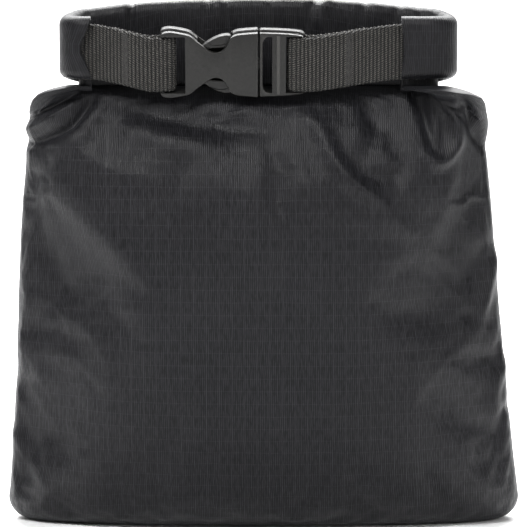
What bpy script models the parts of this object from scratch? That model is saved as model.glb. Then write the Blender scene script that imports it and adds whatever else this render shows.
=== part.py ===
"""Dry bag with a rolled mouth and a side-release buckle.

Metres, +Z up, the bag stands on its flat underside at z = 0 and its front faces -Y.
Every sub-part is one closed solid with a small clearance to its neighbours.
"""

import math

import bmesh
import bpy
from mathutils import Matrix, Vector

# ---------------------------------------------------------------- driving sizes
BAG_WIDTH = 0.187  # widest, just above the rounded lower corners
BAG_DEPTH = 0.060  # front to back when filled
NECK_HEIGHT = 0.1592  # where both panels come together under the roll
LEFT_TAPER = 0.0059  # how much narrower the left side is at shoulder height
RIGHT_TAPER = 0.0113  # the same on the right side
SHOULDER = 0.0412  # height of the rounded shoulders under the neck
CORNER_RADIUS = 0.0140  # lower corners seen from the front
HEEL_DEPTH = 0.017  # how far the underside is set in from front and back
HEEL_HEIGHT = 0.028
CLOTH = 0.0008  # both cloth layers with their coating, drawn thick
ROLL_LEFT = -0.0728  # outer ends of the rolled mouth
ROLL_RIGHT = 0.0692
ROLL_SPARE = 0.0094  # how much taller the roll is than the webbing in its core
ROLL_LIFT = 0.0023  # the roll's underside over the neck, at the middle
ROLL_ARCH = 0.0035  # how much lower its top is at the ends
ROLL_UNDER_ARCH = 0.0017  # and its underside
ROLL_BEND = 0.0070  # bend radius of the roll's centre line at its ends
ROLL_BACK_Y = -0.0010  # the roll's centre line along the back
ROLL_PITCH = 0.0010  # from one turn of the roll to the next
ROLL_SHEET = 0.00065
FLAP_LEFT = 0.0010  # straight length past the bend, left and right
FLAP_RIGHT = 0.0098
WEB_WIDTH = 0.0196
WEB_THICK = 0.0014
STIFFENER_THICK = 0.0012
WEB_ROOT = 0.009  # length of each strap held inside the roll
BUCKLE_X = -0.0018  # the socket's mouth
BUCKLE_DROP = 0.0035  # the buckle's lower edge under the neck
RAIL = 0.0029  # the buckle's rails beyond the webbing's edges
BUCKLE_TILT = math.radians(10.0)  # the buckle's top edge leans forward
BUCKLE_THICK = 0.0076
BUCKLE_WALL = 0.0015  # the socket's front and back walls
SOCKET_LENGTH = 0.0349
PLUG_LENGTH = 0.0164
SHOULDER_SLOPE = 0.10  # how fast the width falls off above the shoulder height
SHOULDER_WALL = 0.0091  # length of the socket's side walls from its mouth
STRAP_SLOT = 0.0091  # from the socket's left end to the strap slot's right side
BAR_RADIUS = 0.00150
TAIL_LEFT = 0.0195  # webbing folded back behind the bar
TAIL_RIGHT = 0.0245

# ---------------------------------------------------------------- clearances
GAP = 0.0003
FIT = 0.0004

# ---------------------------------------------------------------- derived sizes
CORE = WEB_THICK / 2 + 0.000225 + ROLL_SHEET / 2  # inner turn to centre line
OUTER_TURN = CORE + 2 * ROLL_PITCH
ROLL_HALF = OUTER_TURN + ROLL_SHEET / 2
FLAP_Y = ROLL_BACK_Y - 2 * ROLL_BEND
LEFT_CENTRE = ROLL_LEFT + ROLL_BEND + ROLL_HALF
RIGHT_CENTRE = ROLL_RIGHT - ROLL_BEND - ROLL_HALF
BUCKLE_Y = FLAP_Y - 0.0030
WRAP = BAR_RADIUS + FIT + WEB_THICK / 2  # strap centre line round a bar
SOCKET_BAR_X = BUCKLE_X - SOCKET_LENGTH + 0.0025
PLUG_BAR_X = BUCKLE_X + GAP + 0.0131
NECK_HALF = CLOTH + 0.0001  # half the neck band, cloth and a hairline inside
NECK_IN = OUTER_TURN - 0.0003  # the neck lies on the inner side of the roll's bends
TAPER_HEIGHT = NECK_HEIGHT - SHOULDER
ROLL_UNDER = NECK_HEIGHT + ROLL_LIFT
ROLL_TOP = ROLL_UNDER + WEB_WIDTH + ROLL_SPARE
BUCKLE_HALF = WEB_WIDTH / 2 + RAIL
BUCKLE_Z = NECK_HEIGHT - BUCKLE_DROP + BUCKLE_HALF
CHANNEL_HALF = BUCKLE_HALF - 0.0039  # half-height of the socket's mouth
CHANNEL_START = BUCKLE_X - SOCKET_LENGTH + STRAP_SLOT + 0.0042
ARM_THICK = BUCKLE_THICK - 2 * BUCKLE_WALL - 0.0006
WEB_ROOT_Z = (
    ROLL_UNDER
    - ROLL_UNDER_ARCH
    + ROLL_TOP
    - ROLL_ARCH
    + OUTER_TURN
    - ROLL_PITCH / 2
    + ROLL_SHEET / 2
    - ROLL_HALF
) / 2


def clear_scene():
    """Remove what the start-up file holds."""
    for item in list(bpy.data.objects):
        bpy.data.objects.remove(item, do_unlink=True)


def finish_material(name, colour, roughness, metallic=0.0):
    """One plain Principled material."""
    material = bpy.data.materials.new(name)
    material.use_nodes = True
    shader = material.node_tree.nodes["Principled BSDF"]
    shader.inputs["Base Color"].default_value = (*colour, 1.0)
    shader.inputs["Roughness"].default_value = roughness
    shader.inputs["Metallic"].default_value = metallic
    material.diffuse_color = (*colour, 1.0)
    return material


def solid(name, points, faces, material, smooth=False):
    """A closed mesh object from points and faces, turned outward."""
    mesh = bpy.data.meshes.new(name)
    mesh.from_pydata(points, [], faces)
    part = bpy.data.objects.new(name, mesh)
    bpy.context.scene.collection.objects.link(part)
    mesh.materials.append(material)
    build = bmesh.new()
    build.from_mesh(mesh)
    bmesh.ops.recalc_face_normals(build, faces=build.faces)
    build.to_mesh(mesh)
    build.free()
    for face in mesh.polygons:
        face.use_smooth = smooth
    return part


# ---------------------------------------------------------------- bag outline
def side_width(z, sign):
    """Half-width at height z on the left (-1) or the right (+1)."""
    taper = LEFT_TAPER if sign < 0 else RIGHT_TAPER
    power = 0.7 if sign < 0 else 0.9
    start = CORNER_RADIUS
    reach = min(max((z - start) / (TAPER_HEIGHT - start), 0.0), 1.0)
    width = BAG_WIDTH / 2 - taper * reach**power
    width -= SHOULDER_SLOPE * max(z - TAPER_HEIGHT, 0.0)
    if z < CORNER_RADIUS:
        drop = CORNER_RADIUS - z
        width -= CORNER_RADIUS - math.sqrt(CORNER_RADIUS**2 - drop**2)
    return width


def half_depth(z):
    """Half-depth at height z, set in towards the underside."""
    depth = BAG_DEPTH / 2
    if z < HEEL_HEIGHT:
        fall = 1 - z / HEEL_HEIGHT
        depth -= HEEL_DEPTH * (1 - math.sqrt(1 - fall**2))
    return depth


def closing(z):
    """0 on the full body, 1 at the neck; the shoulders are rounded."""
    reach = (z - TAPER_HEIGHT) / (NECK_HEIGHT - TAPER_HEIGHT)
    reach = min(max(reach, 0.0), 1.0)
    return 1 - math.sqrt(1 - reach**2)


def roll_length():
    """Length of the roll's centre line from one flap's end to the other's."""
    straight = RIGHT_CENTRE - LEFT_CENTRE
    return FLAP_LEFT + FLAP_RIGHT + straight + 2 * math.pi * ROLL_BEND


def roll_place(s, off=0.0):
    """Point and outward direction on the roll's path at length s, set off outward."""
    turn = math.pi * ROLL_BEND
    middle = ROLL_BACK_Y - ROLL_BEND
    straight = RIGHT_CENTRE - LEFT_CENTRE
    if s < FLAP_LEFT:
        x, y, out = LEFT_CENTRE + FLAP_LEFT - s, FLAP_Y, (0.0, -1.0)
    elif s < FLAP_LEFT + turn:
        angle = -math.pi / 2 - (s - FLAP_LEFT) / ROLL_BEND
        out = (math.cos(angle), math.sin(angle))
        x, y = LEFT_CENTRE + ROLL_BEND * out[0], middle + ROLL_BEND * out[1]
    elif s < FLAP_LEFT + turn + straight:
        x, y, out = LEFT_CENTRE + s - FLAP_LEFT - turn, ROLL_BACK_Y, (0.0, 1.0)
    elif s < FLAP_LEFT + 2 * turn + straight:
        angle = math.pi / 2 - (s - FLAP_LEFT - turn - straight) / ROLL_BEND
        out = (math.cos(angle), math.sin(angle))
        x, y = RIGHT_CENTRE + ROLL_BEND * out[0], middle + ROLL_BEND * out[1]
    else:
        past = s - FLAP_LEFT - 2 * turn - straight
        x, y, out = RIGHT_CENTRE - past, FLAP_Y, (0.0, -1.0)
    return (x + off * out[0], y + off * out[1]), out


def half_length(z, sign):
    """Length of the section's middle line from x = 0 to the left or right seam."""
    straight = -LEFT_CENTRE if sign < 0 else RIGHT_CENTRE
    flap = FLAP_LEFT if sign < 0 else FLAP_RIGHT
    neck = straight + flap + math.pi * ROLL_BEND
    share = closing(z) ** 2
    return side_width(z, sign) * (1 - share) + neck * share


def middle_line(along, z, sign):
    """Point and backward normal on the section's middle line, whose ends bend forward."""
    share = closing(z)
    bend = math.pi * share**2
    arc = math.pi * ROLL_BEND
    flap = FLAP_LEFT if sign < 0 else FLAP_RIGHT
    start = half_length(z, sign) - flap - arc
    back = share * (ROLL_BACK_Y - NECK_IN)
    if along <= start or bend < 1e-6:
        return (sign * along, back), (0.0, 1.0)
    radius = arc / bend - share * NECK_IN
    turned = min((along - start) / arc, 1.0) * bend
    x = start + radius * math.sin(turned)
    y = back - radius * (1 - math.cos(turned))
    past = max(along - start - arc, 0.0)
    x += past * math.cos(turned)
    y -= past * math.sin(turned)
    return (sign * x, y), (sign * math.sin(turned), math.cos(turned))


def ring_point(front, u, z, inset, gap):
    """One point of the bag's outline at height z; u runs from left to right seam."""
    angle = math.pi * u
    sign = -1 if u < 0.5 else 1
    share = closing(z)
    flat = half_length(z, sign) - inset
    thick = half_depth(z) * (1 - share) ** 1.15 + NECK_HALF * share - inset
    along = flat * abs(math.cos(angle)) ** 0.91
    off = thick * math.sin(angle) ** (0.91 - 0.6 * share**3) + gap / 2
    (x, y), out = middle_line(along, z, sign)
    off = -off if front else off
    return x + off * out[0], y + off * out[1]


def level_heights():
    """Heights of the rings, closer together where the shape turns."""
    low = [0.0, 0.05, 0.17, 0.38, 0.68, 1.0]
    heights = [share * CORNER_RADIUS for share in low]
    heights.append(HEEL_HEIGHT * 1.05)
    middle = [0.12, 0.28, 0.48, 0.7, 0.88, 1.0]
    span = TAPER_HEIGHT - heights[-1]
    heights += [heights[-1] + span * share for share in middle]
    top = [0.25, 0.45, 0.62, 0.76, 0.87, 0.94, 0.985, 1.0]
    heights += [TAPER_HEIGHT + (NECK_HEIGHT - TAPER_HEIGHT) * share for share in top]
    return heights


def panel(name, front, material, columns=40):
    """One cloth panel, from the neck down and in to the bottom seam."""
    heights = level_heights()[::-1]
    points = []
    skins = []
    for inset in (0.0, CLOTH):
        rows = []
        for z in heights:
            row = []
            level = inset + z * (NECK_HEIGHT - inset) / NECK_HEIGHT
            for i in range(columns + 1):
                x, y = ring_point(front, i / columns, z, inset, GAP)
                row.append(len(points))
                points.append((x, y, level))
            rows.append(row)
        last = rows[-1]
        for share in (0.7, 0.4, 0.15, 0.0):
            row = [last[0]]
            for i in range(1, columns):
                x, y, z = points[last[i]]
                seam = -GAP / 2 if front else GAP / 2
                row.append(len(points))
                points.append((x, seam + (y - seam) * share, z))
            row.append(last[-1])
            rows.append(row)
        skins.append(rows)
    faces = []
    outer, inner = skins
    for rows in skins:
        for upper, lower in zip(rows, rows[1:]):
            for i in range(columns):
                loop = [upper[i], upper[i + 1], lower[i + 1], lower[i]]
                faces.append(list(dict.fromkeys(loop)))
    for row in (0, -1):
        for i in range(columns):
            faces.append([outer[row][i], outer[row][i + 1], inner[row][i + 1], inner[row][i]])
    for column in (0, -1):
        for above, below in zip(range(len(heights)), range(1, len(heights))):
            faces.append(
                [
                    outer[above][column],
                    outer[below][column],
                    inner[below][column],
                    inner[above][column],
                ]
            )
    return solid(name, points, faces, material, smooth=True)


def side_tape(name, right, material):
    """Sealing tape over the inside of one side seam."""
    reach = [0.10, 0.066, 0.033]
    limit = TAPER_HEIGHT + 0.5 * SHOULDER
    heights = [z for z in level_heights() if 0.6 * CORNER_RADIUS < z < limit]
    points = []
    rows = []
    for z in heights:
        row = []
        for inset in (CLOTH + GAP + 0.0001, CLOTH + GAP + 0.0006):
            line = [(True, u) for u in reach] + [(True, 0.0)]
            line += [(False, u) for u in reach[::-1]]
            if inset > CLOTH + GAP + 0.0002:
                line = line[::-1]
            for front, u in line:
                x, y = ring_point(front, 1 - u if right else u, z, inset, 0.0)
                row.append(len(points))
                points.append((x, y, z))
        rows.append(row)
    return loft(name, points, rows, material)


def loft(name, points, rows, material, smooth=False):
    """A closed solid between closed loops of equal count."""
    faces = [rows[0][::-1], rows[-1]]
    count = len(rows[0])
    for low, high in zip(rows, rows[1:]):
        for i in range(count):
            j = (i + 1) % count
            faces.append([low[i], low[j], high[j], high[i]])
    return solid(name, points, faces, material, smooth)


def bottom_tape(material):
    """Sealing tape over the inside of the bottom seam."""
    low = CLOTH + GAP + 0.0001
    length = BAG_WIDTH / 2 - CORNER_RADIUS * 2
    return block("seam_tape_bottom", (-length, length), (-0.009, 0.009), (low, low + 0.0005), material)


def block(name, xs, ys, zs, material):
    """A plain box."""
    points = [(x, y, z) for x in xs for y in ys for z in zs]
    faces = [
        [0, 1, 3, 2],
        [4, 6, 7, 5],
        [0, 4, 5, 1],
        [2, 3, 7, 6],
        [0, 2, 6, 4],
        [1, 5, 7, 3],
    ]
    return solid(name, points, faces, material)


# ---------------------------------------------------------------- rolled mouth
def roll_levels(s):
    """Underside and top of the roll at length s: arched along the back."""
    (x, _), _ = roll_place(s)
    middle = (LEFT_CENTRE + RIGHT_CENTRE) / 2
    half = (RIGHT_CENTRE - LEFT_CENTRE) / 2
    share = min(abs(x - middle) / half, 1.0) ** 2
    turn = FLAP_LEFT + math.pi * ROLL_BEND / 2
    if s < turn or s > roll_length() - FLAP_RIGHT - math.pi * ROLL_BEND / 2:
        share = 1.0
    return ROLL_UNDER - ROLL_UNDER_ARCH * share, ROLL_TOP - ROLL_ARCH * share


def core_levels(s):
    """Heights between which the roll's turns are straight."""
    under, top = roll_levels(s)
    lower = under + OUTER_TURN - ROLL_PITCH / 2 + ROLL_SHEET / 2
    return lower, top - ROLL_HALF


def turn_line(low, high, steps=6):
    """Centre line of the rolled sheet in section, from the core to the neck in front."""
    line = [(CORE, low + 0.001)]
    radius = CORE
    for _ in range(2):
        for i in range(steps + 1):
            angle = math.pi * i / steps
            line.append((radius * math.cos(angle), high + radius * math.sin(angle)))
        lower = radius + ROLL_PITCH / 2
        for i in range(steps + 1):
            angle = math.pi * (1 + i / steps)
            x = ROLL_PITCH / 2 + lower * math.cos(angle)
            line.append((x, low + lower * math.sin(angle)))
        radius += ROLL_PITCH
    for i in range(steps + 1):
        angle = math.pi * i / steps
        line.append((radius * math.cos(angle), high + radius * math.sin(angle)))
    line.append((-radius, NECK_HEIGHT + GAP))
    return line


def thicken(line, thick):
    """Closed outline of a strip of even thickness along an open line."""
    one, other = [], []
    for i, (x, z) in enumerate(line):
        before = line[max(i - 1, 0)]
        after = line[min(i + 1, len(line) - 1)]
        along = Vector((after[0] - before[0], after[1] - before[1])).normalized()
        side = Vector((-along.y, along.x)) * thick / 2
        one.append((x + side.x, z + side.y))
        other.append((x - side.x, z - side.y))
    return one + other[::-1]


def roll_stations():
    """Lengths along the roll at which its section is drawn."""
    turn = math.pi * ROLL_BEND
    straight = RIGHT_CENTRE - LEFT_CENTRE
    stations = [0.0]
    stations += [FLAP_LEFT + turn * i / 8 for i in range(8)]
    start = FLAP_LEFT + turn
    stations += [start + straight * i / 8 for i in range(8)]
    start += straight
    stations += [start + turn * i / 8 for i in range(8)]
    stations += [start + turn, roll_length()]
    return stations


def mouth_roll(material):
    """The bag's mouth, rolled backward in three turns, its ends bent round to the front."""
    points = []
    rows = []
    for s in roll_stations():
        low, high = core_levels(s)
        row = []
        for off, z in thicken(turn_line(low, high), ROLL_SHEET):
            (x, y), _ = roll_place(s, off)
            row.append(len(points))
            points.append((x, y, z))
        rows.append(row)
    return loft("mouth_roll", points, rows, material, smooth=True)


def tilted(x, y, z, angle=BUCKLE_TILT):
    """A point turned about the buckle's long axis, its upper side forward."""
    across, up = y - BUCKLE_Y, z - BUCKLE_Z
    turn, hold = math.sin(angle), math.cos(angle)
    return x, BUCKLE_Y + across * hold - up * turn, BUCKLE_Z + across * turn + up * hold


def strip(name, path, thick, width, material):
    """A flat strip on edge: path holds (x, y, centre height, share of tilt) points."""
    points = []
    rows = []
    flat = [(p[0], p[1]) for p in path]
    outline = thicken(flat, thick)
    count = len(path)
    for i in range(count):
        z, share = path[i][2], path[i][3]
        near, far = outline[i], outline[2 * count - 1 - i]
        loop = [
            tilted(near[0], near[1], z - width / 2, BUCKLE_TILT * share),
            tilted(near[0], near[1], z + width / 2, BUCKLE_TILT * share),
            tilted(far[0], far[1], z + width / 2, BUCKLE_TILT * share),
            tilted(far[0], far[1], z - width / 2, BUCKLE_TILT * share),
        ]
        rows.append(list(range(len(points), len(points) + 4)))
        points += loop
    return loft(name, points, rows, material)


def mouth_stiffener(material):
    """The flexible strip sewn into the mouth, at the core of the roll."""
    start, end = WEB_ROOT + GAP, roll_length() - WEB_ROOT - GAP
    stops = [s for s in roll_stations() if start + 0.0005 < s < end - 0.0005]
    path = []
    for s in [start, *stops, end]:
        (x, y), _ = roll_place(s)
        low, high = core_levels(s)
        path.append((x, y, (low + high) / 2, 0.0))
    return strip("mouth_stiffener", path, STIFFENER_THICK, WEB_WIDTH, material)


# ---------------------------------------------------------------- straps
def strap(name, right, material):
    """Webbing out of one end of the roll, round a buckle bar and back behind itself."""
    length = roll_length()
    root = [WEB_ROOT * (1 - i / 5) for i in range(6)]
    bar_x = PLUG_BAR_X if right else SOCKET_BAR_X
    tail = TAIL_RIGHT if right else TAIL_LEFT
    path = []
    for s in root:
        (x, y), _ = roll_place(length - s if right else s)
        path.append((x, y, WEB_ROOT_Z, 0.0))
    start_x, start_y = path[-1][:2]
    away = -1.0 if right else 1.0
    lead = start_x + away * 0.0015
    path.append((lead, start_y, WEB_ROOT_Z, 0.0))
    knee = bar_x - away * 0.006

    def along(x, y):
        share = min(max((x - lead) / (knee - lead), 0.0), 1.0)
        return x, y, WEB_ROOT_Z + (BUCKLE_Z - WEB_ROOT_Z) * share, share

    front_y, back_y = BUCKLE_Y - WRAP, BUCKLE_Y + WRAP
    for share in (0.5, 1.0):
        x = lead + (knee - lead) * share
        path.append(along(x, start_y + (front_y - start_y) * share))
    for i in range(9):
        angle = -math.pi / 2 + math.pi * i / 8
        x = bar_x + away * WRAP * math.cos(angle)
        path.append(along(x, BUCKLE_Y + WRAP * math.sin(angle)))
    space = WEB_THICK + FIT
    for share in (0.45, 0.75, 1.0):
        x = bar_x - away * tail * share
        run = min(max((x - lead) / (knee - lead), 0.0), 1.0)
        front = start_y + (front_y - start_y) * run
        near = front + space
        y = near + (back_y - near) * max(1 - share * 1.35, 0.0)
        path.append(along(x, y))
    return strip(name, path, WEB_THICK, WEB_WIDTH, material)


# ---------------------------------------------------------------- buckle
def plate(name, outline, thick, material, y=BUCKLE_Y):
    """An outline in the X-Z plane made as thick as asked, centred on y."""
    points = []
    rows = []
    for side in (y - thick / 2, y + thick / 2):
        rows.append(list(range(len(points), len(points) + len(outline))))
        points += [(x, side, z) for x, z in outline]
    return loft(name, points, rows, material)


def bar(name, x, half, material, count=16):
    """An upright round bar across the buckle."""
    points = []
    rows = []
    for z in (BUCKLE_Z - half, BUCKLE_Z + half):
        row = []
        for i in range(count):
            angle = 2 * math.pi * i / count
            row.append(len(points))
            points.append((x + BAR_RADIUS * math.cos(angle), BUCKLE_Y + BAR_RADIUS * math.sin(angle), z))
        rows.append(row)
    return loft(name, points, rows, material)


def combine(part, other, operation):
    """Cut one solid with another, or join them, and drop the helper."""
    step = part.modifiers.new("combine", "BOOLEAN")
    step.operation = operation
    step.solver = "EXACT"
    step.object = other
    bpy.context.view_layer.objects.active = part
    bpy.ops.object.modifier_apply(modifier=step.name)
    bpy.data.objects.remove(other, do_unlink=True)


def round_edges(part, width, segments=2):
    """Soften the sharp edges of a buckle part."""
    step = part.modifiers.new("round", "BEVEL")
    step.width = width
    step.segments = segments
    step.limit_method = "ANGLE"
    step.angle_limit = math.radians(50)
    bpy.context.view_layer.objects.active = part
    bpy.ops.object.modifier_apply(modifier=step.name)


def lean(part):
    """Turn a finished buckle part to the buckle's tilt."""
    for vertex in part.data.vertices:
        vertex.co = tilted(*vertex.co)


def mirrored(upper):
    """A full outline from the upper half's (x, distance from centre) points."""
    top = [(x, BUCKLE_Z + h) for x, h in upper]
    return top + [(x, BUCKLE_Z - h) for x, h in upper[::-1]]


def buckle_socket(material):
    """The socket: scooped sides, two rails with a strap bar, open mouth to the right."""
    left = BUCKLE_X - SOCKET_LENGTH
    mouth = BUCKLE_X
    inner = CHANNEL_HALF
    slot_end = left + STRAP_SLOT
    scoop = mouth - SHOULDER_WALL - slot_end
    upper = [
        (left, BUCKLE_HALF - 0.0012),
        (left + 0.0012, BUCKLE_HALF),
        (slot_end, BUCKLE_HALF - 0.0002),
        (slot_end + scoop * 0.18, BUCKLE_HALF - 0.0013),
        (slot_end + scoop * 0.34, BUCKLE_HALF - 0.0036),
        (slot_end + scoop * 0.47, BUCKLE_HALF - 0.0059),
        (slot_end + scoop * 0.60, BUCKLE_HALF - 0.0071),
        (slot_end + scoop * 0.71, BUCKLE_HALF - 0.0072),
        (slot_end + scoop * 0.82, BUCKLE_HALF - 0.0060),
        (slot_end + scoop * 0.92, BUCKLE_HALF - 0.0038),
        (slot_end + scoop, BUCKLE_HALF - 0.0016),
        (slot_end + scoop + 0.0021, BUCKLE_HALF - 0.0007),
        (mouth, BUCKLE_HALF - 0.0003),
    ]
    socket = plate("buckle_socket", mirrored(upper), BUCKLE_THICK, material)
    round_edges(socket, 0.0009)
    window = WEB_WIDTH / 2 + FIT
    y0, y1 = BUCKLE_Y - BUCKLE_THICK, BUCKLE_Y + BUCKLE_THICK
    slot = block(
        "slot", (left - 0.001, slot_end), (y0, y1), (BUCKLE_Z - window, BUCKLE_Z + window), material
    )
    combine(socket, slot, "DIFFERENCE")
    combine(socket, bar("bar", SOCKET_BAR_X, window + 0.0006, material), "UNION")
    cavity = BUCKLE_THICK / 2 - BUCKLE_WALL
    ys = (BUCKLE_Y - cavity, BUCKLE_Y + cavity)
    channel = block(
        "channel", (CHANNEL_START, mouth + 0.001), ys, (BUCKLE_Z - inner, BUCKLE_Z + inner), material
    )
    combine(socket, channel, "DIFFERENCE")
    sides = block(
        "sides",
        (CHANNEL_START, mouth - SHOULDER_WALL),
        ys,
        (BUCKLE_Z - 2 * BUCKLE_HALF, BUCKLE_Z + 2 * BUCKLE_HALF),
        material,
    )
    combine(socket, sides, "DIFFERENCE")
    lean(socket)
    return socket


def buckle_plug(material):
    """The plug's frame, with its two bars and the guide that runs into the socket."""
    start = BUCKLE_X + GAP
    end = start + PLUG_LENGTH
    upper = [
        (start, BUCKLE_HALF - 0.0004),
        (start + 0.0080, BUCKLE_HALF - 0.0005),
        (end - 0.0030, BUCKLE_HALF - 0.0011),
        (end - 0.0010, BUCKLE_HALF - 0.0017),
        (end, BUCKLE_HALF - 0.0027),
    ]
    plug = plate("buckle_plug", mirrored(upper), BUCKLE_THICK - 0.0020, material)
    round_edges(plug, 0.0009)
    window = WEB_WIDTH / 2 + FIT
    y0, y1 = BUCKLE_Y - BUCKLE_THICK, BUCKLE_Y + BUCKLE_THICK
    zs = (BUCKLE_Z - window, BUCKLE_Z + window)
    first = block("first", (start + 0.0015, start + 0.0044), (y0, y1), zs, material)
    combine(plug, first, "DIFFERENCE")
    opening = PLUG_BAR_X - WRAP - WEB_THICK / 2 - FIT
    second = block("second", (opening, end + 0.001), (y0, y1), zs, material)
    combine(plug, second, "DIFFERENCE")
    combine(plug, bar("bar", PLUG_BAR_X, window + 0.0006, material), "UNION")
    tip = CHANNEL_START + 0.0024
    guide = [
        (tip, 0.0009),
        (tip + 0.0015, 0.0016),
        (start + 0.0005, 0.0016),
    ]
    combine(plug, plate("guide", mirrored(guide), ARM_THICK - 0.0010, material), "UNION")
    lean(plug)
    return plug


def release_arm(name, sign, material):
    """One springy arm: thin stem, then a pad with a barb behind the socket's shoulder."""
    root = BUCKLE_X - 0.0001
    inner = CHANNEL_HALF
    barb = BUCKLE_X - SHOULDER_WALL - FIT
    pad = barb - CHANNEL_START - 0.0009
    profile = [
        (root, inner - 0.0026),
        (root, inner - FIT),
        (barb, inner - FIT),
        (barb, inner + 0.0013),
        (barb - pad * 0.09, inner + 0.0016),
        (barb - pad * 0.36, inner + 0.0013),
        (barb - pad * 0.63, inner + 0.0001),
        (barb - pad * 0.88, inner - 0.0017),
        (barb - pad, inner - 0.0032),
        (barb - pad * 0.95, inner - 0.0037),
        (barb - pad * 0.54, inner - 0.0030),
    ]
    outline = [(x, BUCKLE_Z + sign * h) for x, h in profile]
    arm = plate(name, outline, ARM_THICK, material)
    lean(arm)
    place = Vector(tilted(root, BUCKLE_Y, BUCKLE_Z + sign * (inner - 0.0015)))
    arm.data.transform(Matrix.Translation(-place))
    arm.location = place
    return arm


def main():
    """Build every sub-part."""
    clear_scene()
    ripstop = finish_material("ripstop_cloth", (0.035, 0.036, 0.040), 0.62)
    rolled = finish_material("rolled_cloth", (0.040, 0.041, 0.045), 0.60)
    webbing = finish_material("webbing", (0.055, 0.053, 0.048), 0.80)
    plastic = finish_material("buckle_plastic", (0.045, 0.044, 0.042), 0.50)
    strip_plastic = finish_material("stiffener_plastic", (0.10, 0.10, 0.10), 0.55)
    tape = finish_material("seam_tape", (0.20, 0.20, 0.21), 0.35)
    panel("front_panel", True, ripstop)
    panel("back_panel", False, ripstop)
    side_tape("seam_tape_left", False, tape)
    side_tape("seam_tape_right", True, tape)
    bottom_tape(tape)
    mouth_roll(rolled)
    mouth_stiffener(strip_plastic)
    strap("strap_left", False, webbing)
    strap("strap_right", True, webbing)
    buckle_socket(plastic)
    buckle_plug(plastic)
    release_arm("release_arm_upper", 1, plastic)
    release_arm("release_arm_lower", -1, plastic)


main()
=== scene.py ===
"""Looks of the roll-top dry bag: cloth, webbing, buckle, light and camera.

Metres throughout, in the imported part's frame: +Z up, the front faces -Y, the underside at z = 0.
"""

import logging
import math
from dataclasses import dataclass, field
from enum import Enum
from typing import Callable

import bmesh
import bpy
import numpy as np
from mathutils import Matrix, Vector, noise


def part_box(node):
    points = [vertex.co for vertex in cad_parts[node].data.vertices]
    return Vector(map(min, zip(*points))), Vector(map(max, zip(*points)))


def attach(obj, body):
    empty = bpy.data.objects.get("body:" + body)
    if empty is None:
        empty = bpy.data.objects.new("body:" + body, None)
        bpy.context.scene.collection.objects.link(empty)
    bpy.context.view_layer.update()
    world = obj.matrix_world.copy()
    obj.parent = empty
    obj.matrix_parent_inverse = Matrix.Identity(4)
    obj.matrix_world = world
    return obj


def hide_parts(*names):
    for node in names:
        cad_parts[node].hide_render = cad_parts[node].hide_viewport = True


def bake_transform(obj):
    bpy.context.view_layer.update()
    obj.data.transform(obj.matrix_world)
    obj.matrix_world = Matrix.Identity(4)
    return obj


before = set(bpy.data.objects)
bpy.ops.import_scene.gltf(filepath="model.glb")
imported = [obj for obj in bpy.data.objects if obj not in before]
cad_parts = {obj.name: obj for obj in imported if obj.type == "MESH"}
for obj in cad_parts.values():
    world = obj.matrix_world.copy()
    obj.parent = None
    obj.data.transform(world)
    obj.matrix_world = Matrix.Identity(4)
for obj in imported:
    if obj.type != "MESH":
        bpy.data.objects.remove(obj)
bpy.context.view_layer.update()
LOG = logging.getLogger("dry_bag")
Point = tuple[float, float, float]
Line = list[tuple[float, float]]
MM = 0.001


class Side(Enum):
    """Left or right, as seen from the front."""

    LEFT = -1
    RIGHT = 1


# ------------------------------------------------------------------ meshes
def make_piece(name: str, points: np.ndarray, faces: list[list[int]], uv: np.ndarray | None = None) -> bpy.types.Object:
    """Make a smooth mesh object with its place in its mesh.

    Args:
        name: the piece's name.
        points: one row of x, y, z for each vertex.
        faces: vertex numbers of each face.
        uv: one row of u, v in metres for each vertex, along the cloth.

    Returns:
        The new object.
    """
    mesh = bpy.data.meshes.new(name)
    mesh.from_pydata([tuple(p) for p in points], [], faces)
    piece = bpy.data.objects.new(name, mesh)
    bpy.context.scene.collection.objects.link(piece)
    if uv is not None:
        layer = mesh.uv_layers.new(name="cloth")
        corners = np.empty(len(mesh.loops), np.int32)
        mesh.loops.foreach_get("vertex_index", corners)
        layer.data.foreach_set("uv", np.asarray(uv, np.float32)[corners].ravel())
    mesh.shade_smooth()
    return piece


def turn_outward(piece: bpy.types.Object) -> None:
    """Make a closed mesh's faces point outward."""
    build = bmesh.new()
    build.from_mesh(piece.data)
    bmesh.ops.recalc_face_normals(build, faces=build.faces)
    build.to_mesh(piece.data)
    build.free()


def finish_modifiers(piece: bpy.types.Object) -> None:
    """Turn a piece's modifiers into plain mesh."""
    graph = bpy.context.evaluated_depsgraph_get()
    mesh = bpy.data.meshes.new_from_object(piece.evaluated_get(graph))
    piece.modifiers.clear()
    piece.data = mesh


def smoothstep(low: float, high: float, value: np.ndarray | float) -> np.ndarray | float:
    """Rise smoothly from 0 at low to 1 at high."""
    share = np.clip((value - low) / (high - low), 0.0, 1.0)
    return share * share * (3 - 2 * share)


def ripple(points: np.ndarray, scale: float, seed: float) -> np.ndarray:
    """Smooth random height between about -1 and 1 at each point.

    Args:
        points: rows of coordinates in metres.
        scale: size of one bump in metres.
        seed: shifts the pattern.

    Returns:
        One height for each row.
    """
    return np.array([noise.noise(Vector(p) / scale + Vector((seed, seed, seed))) for p in points])


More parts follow.
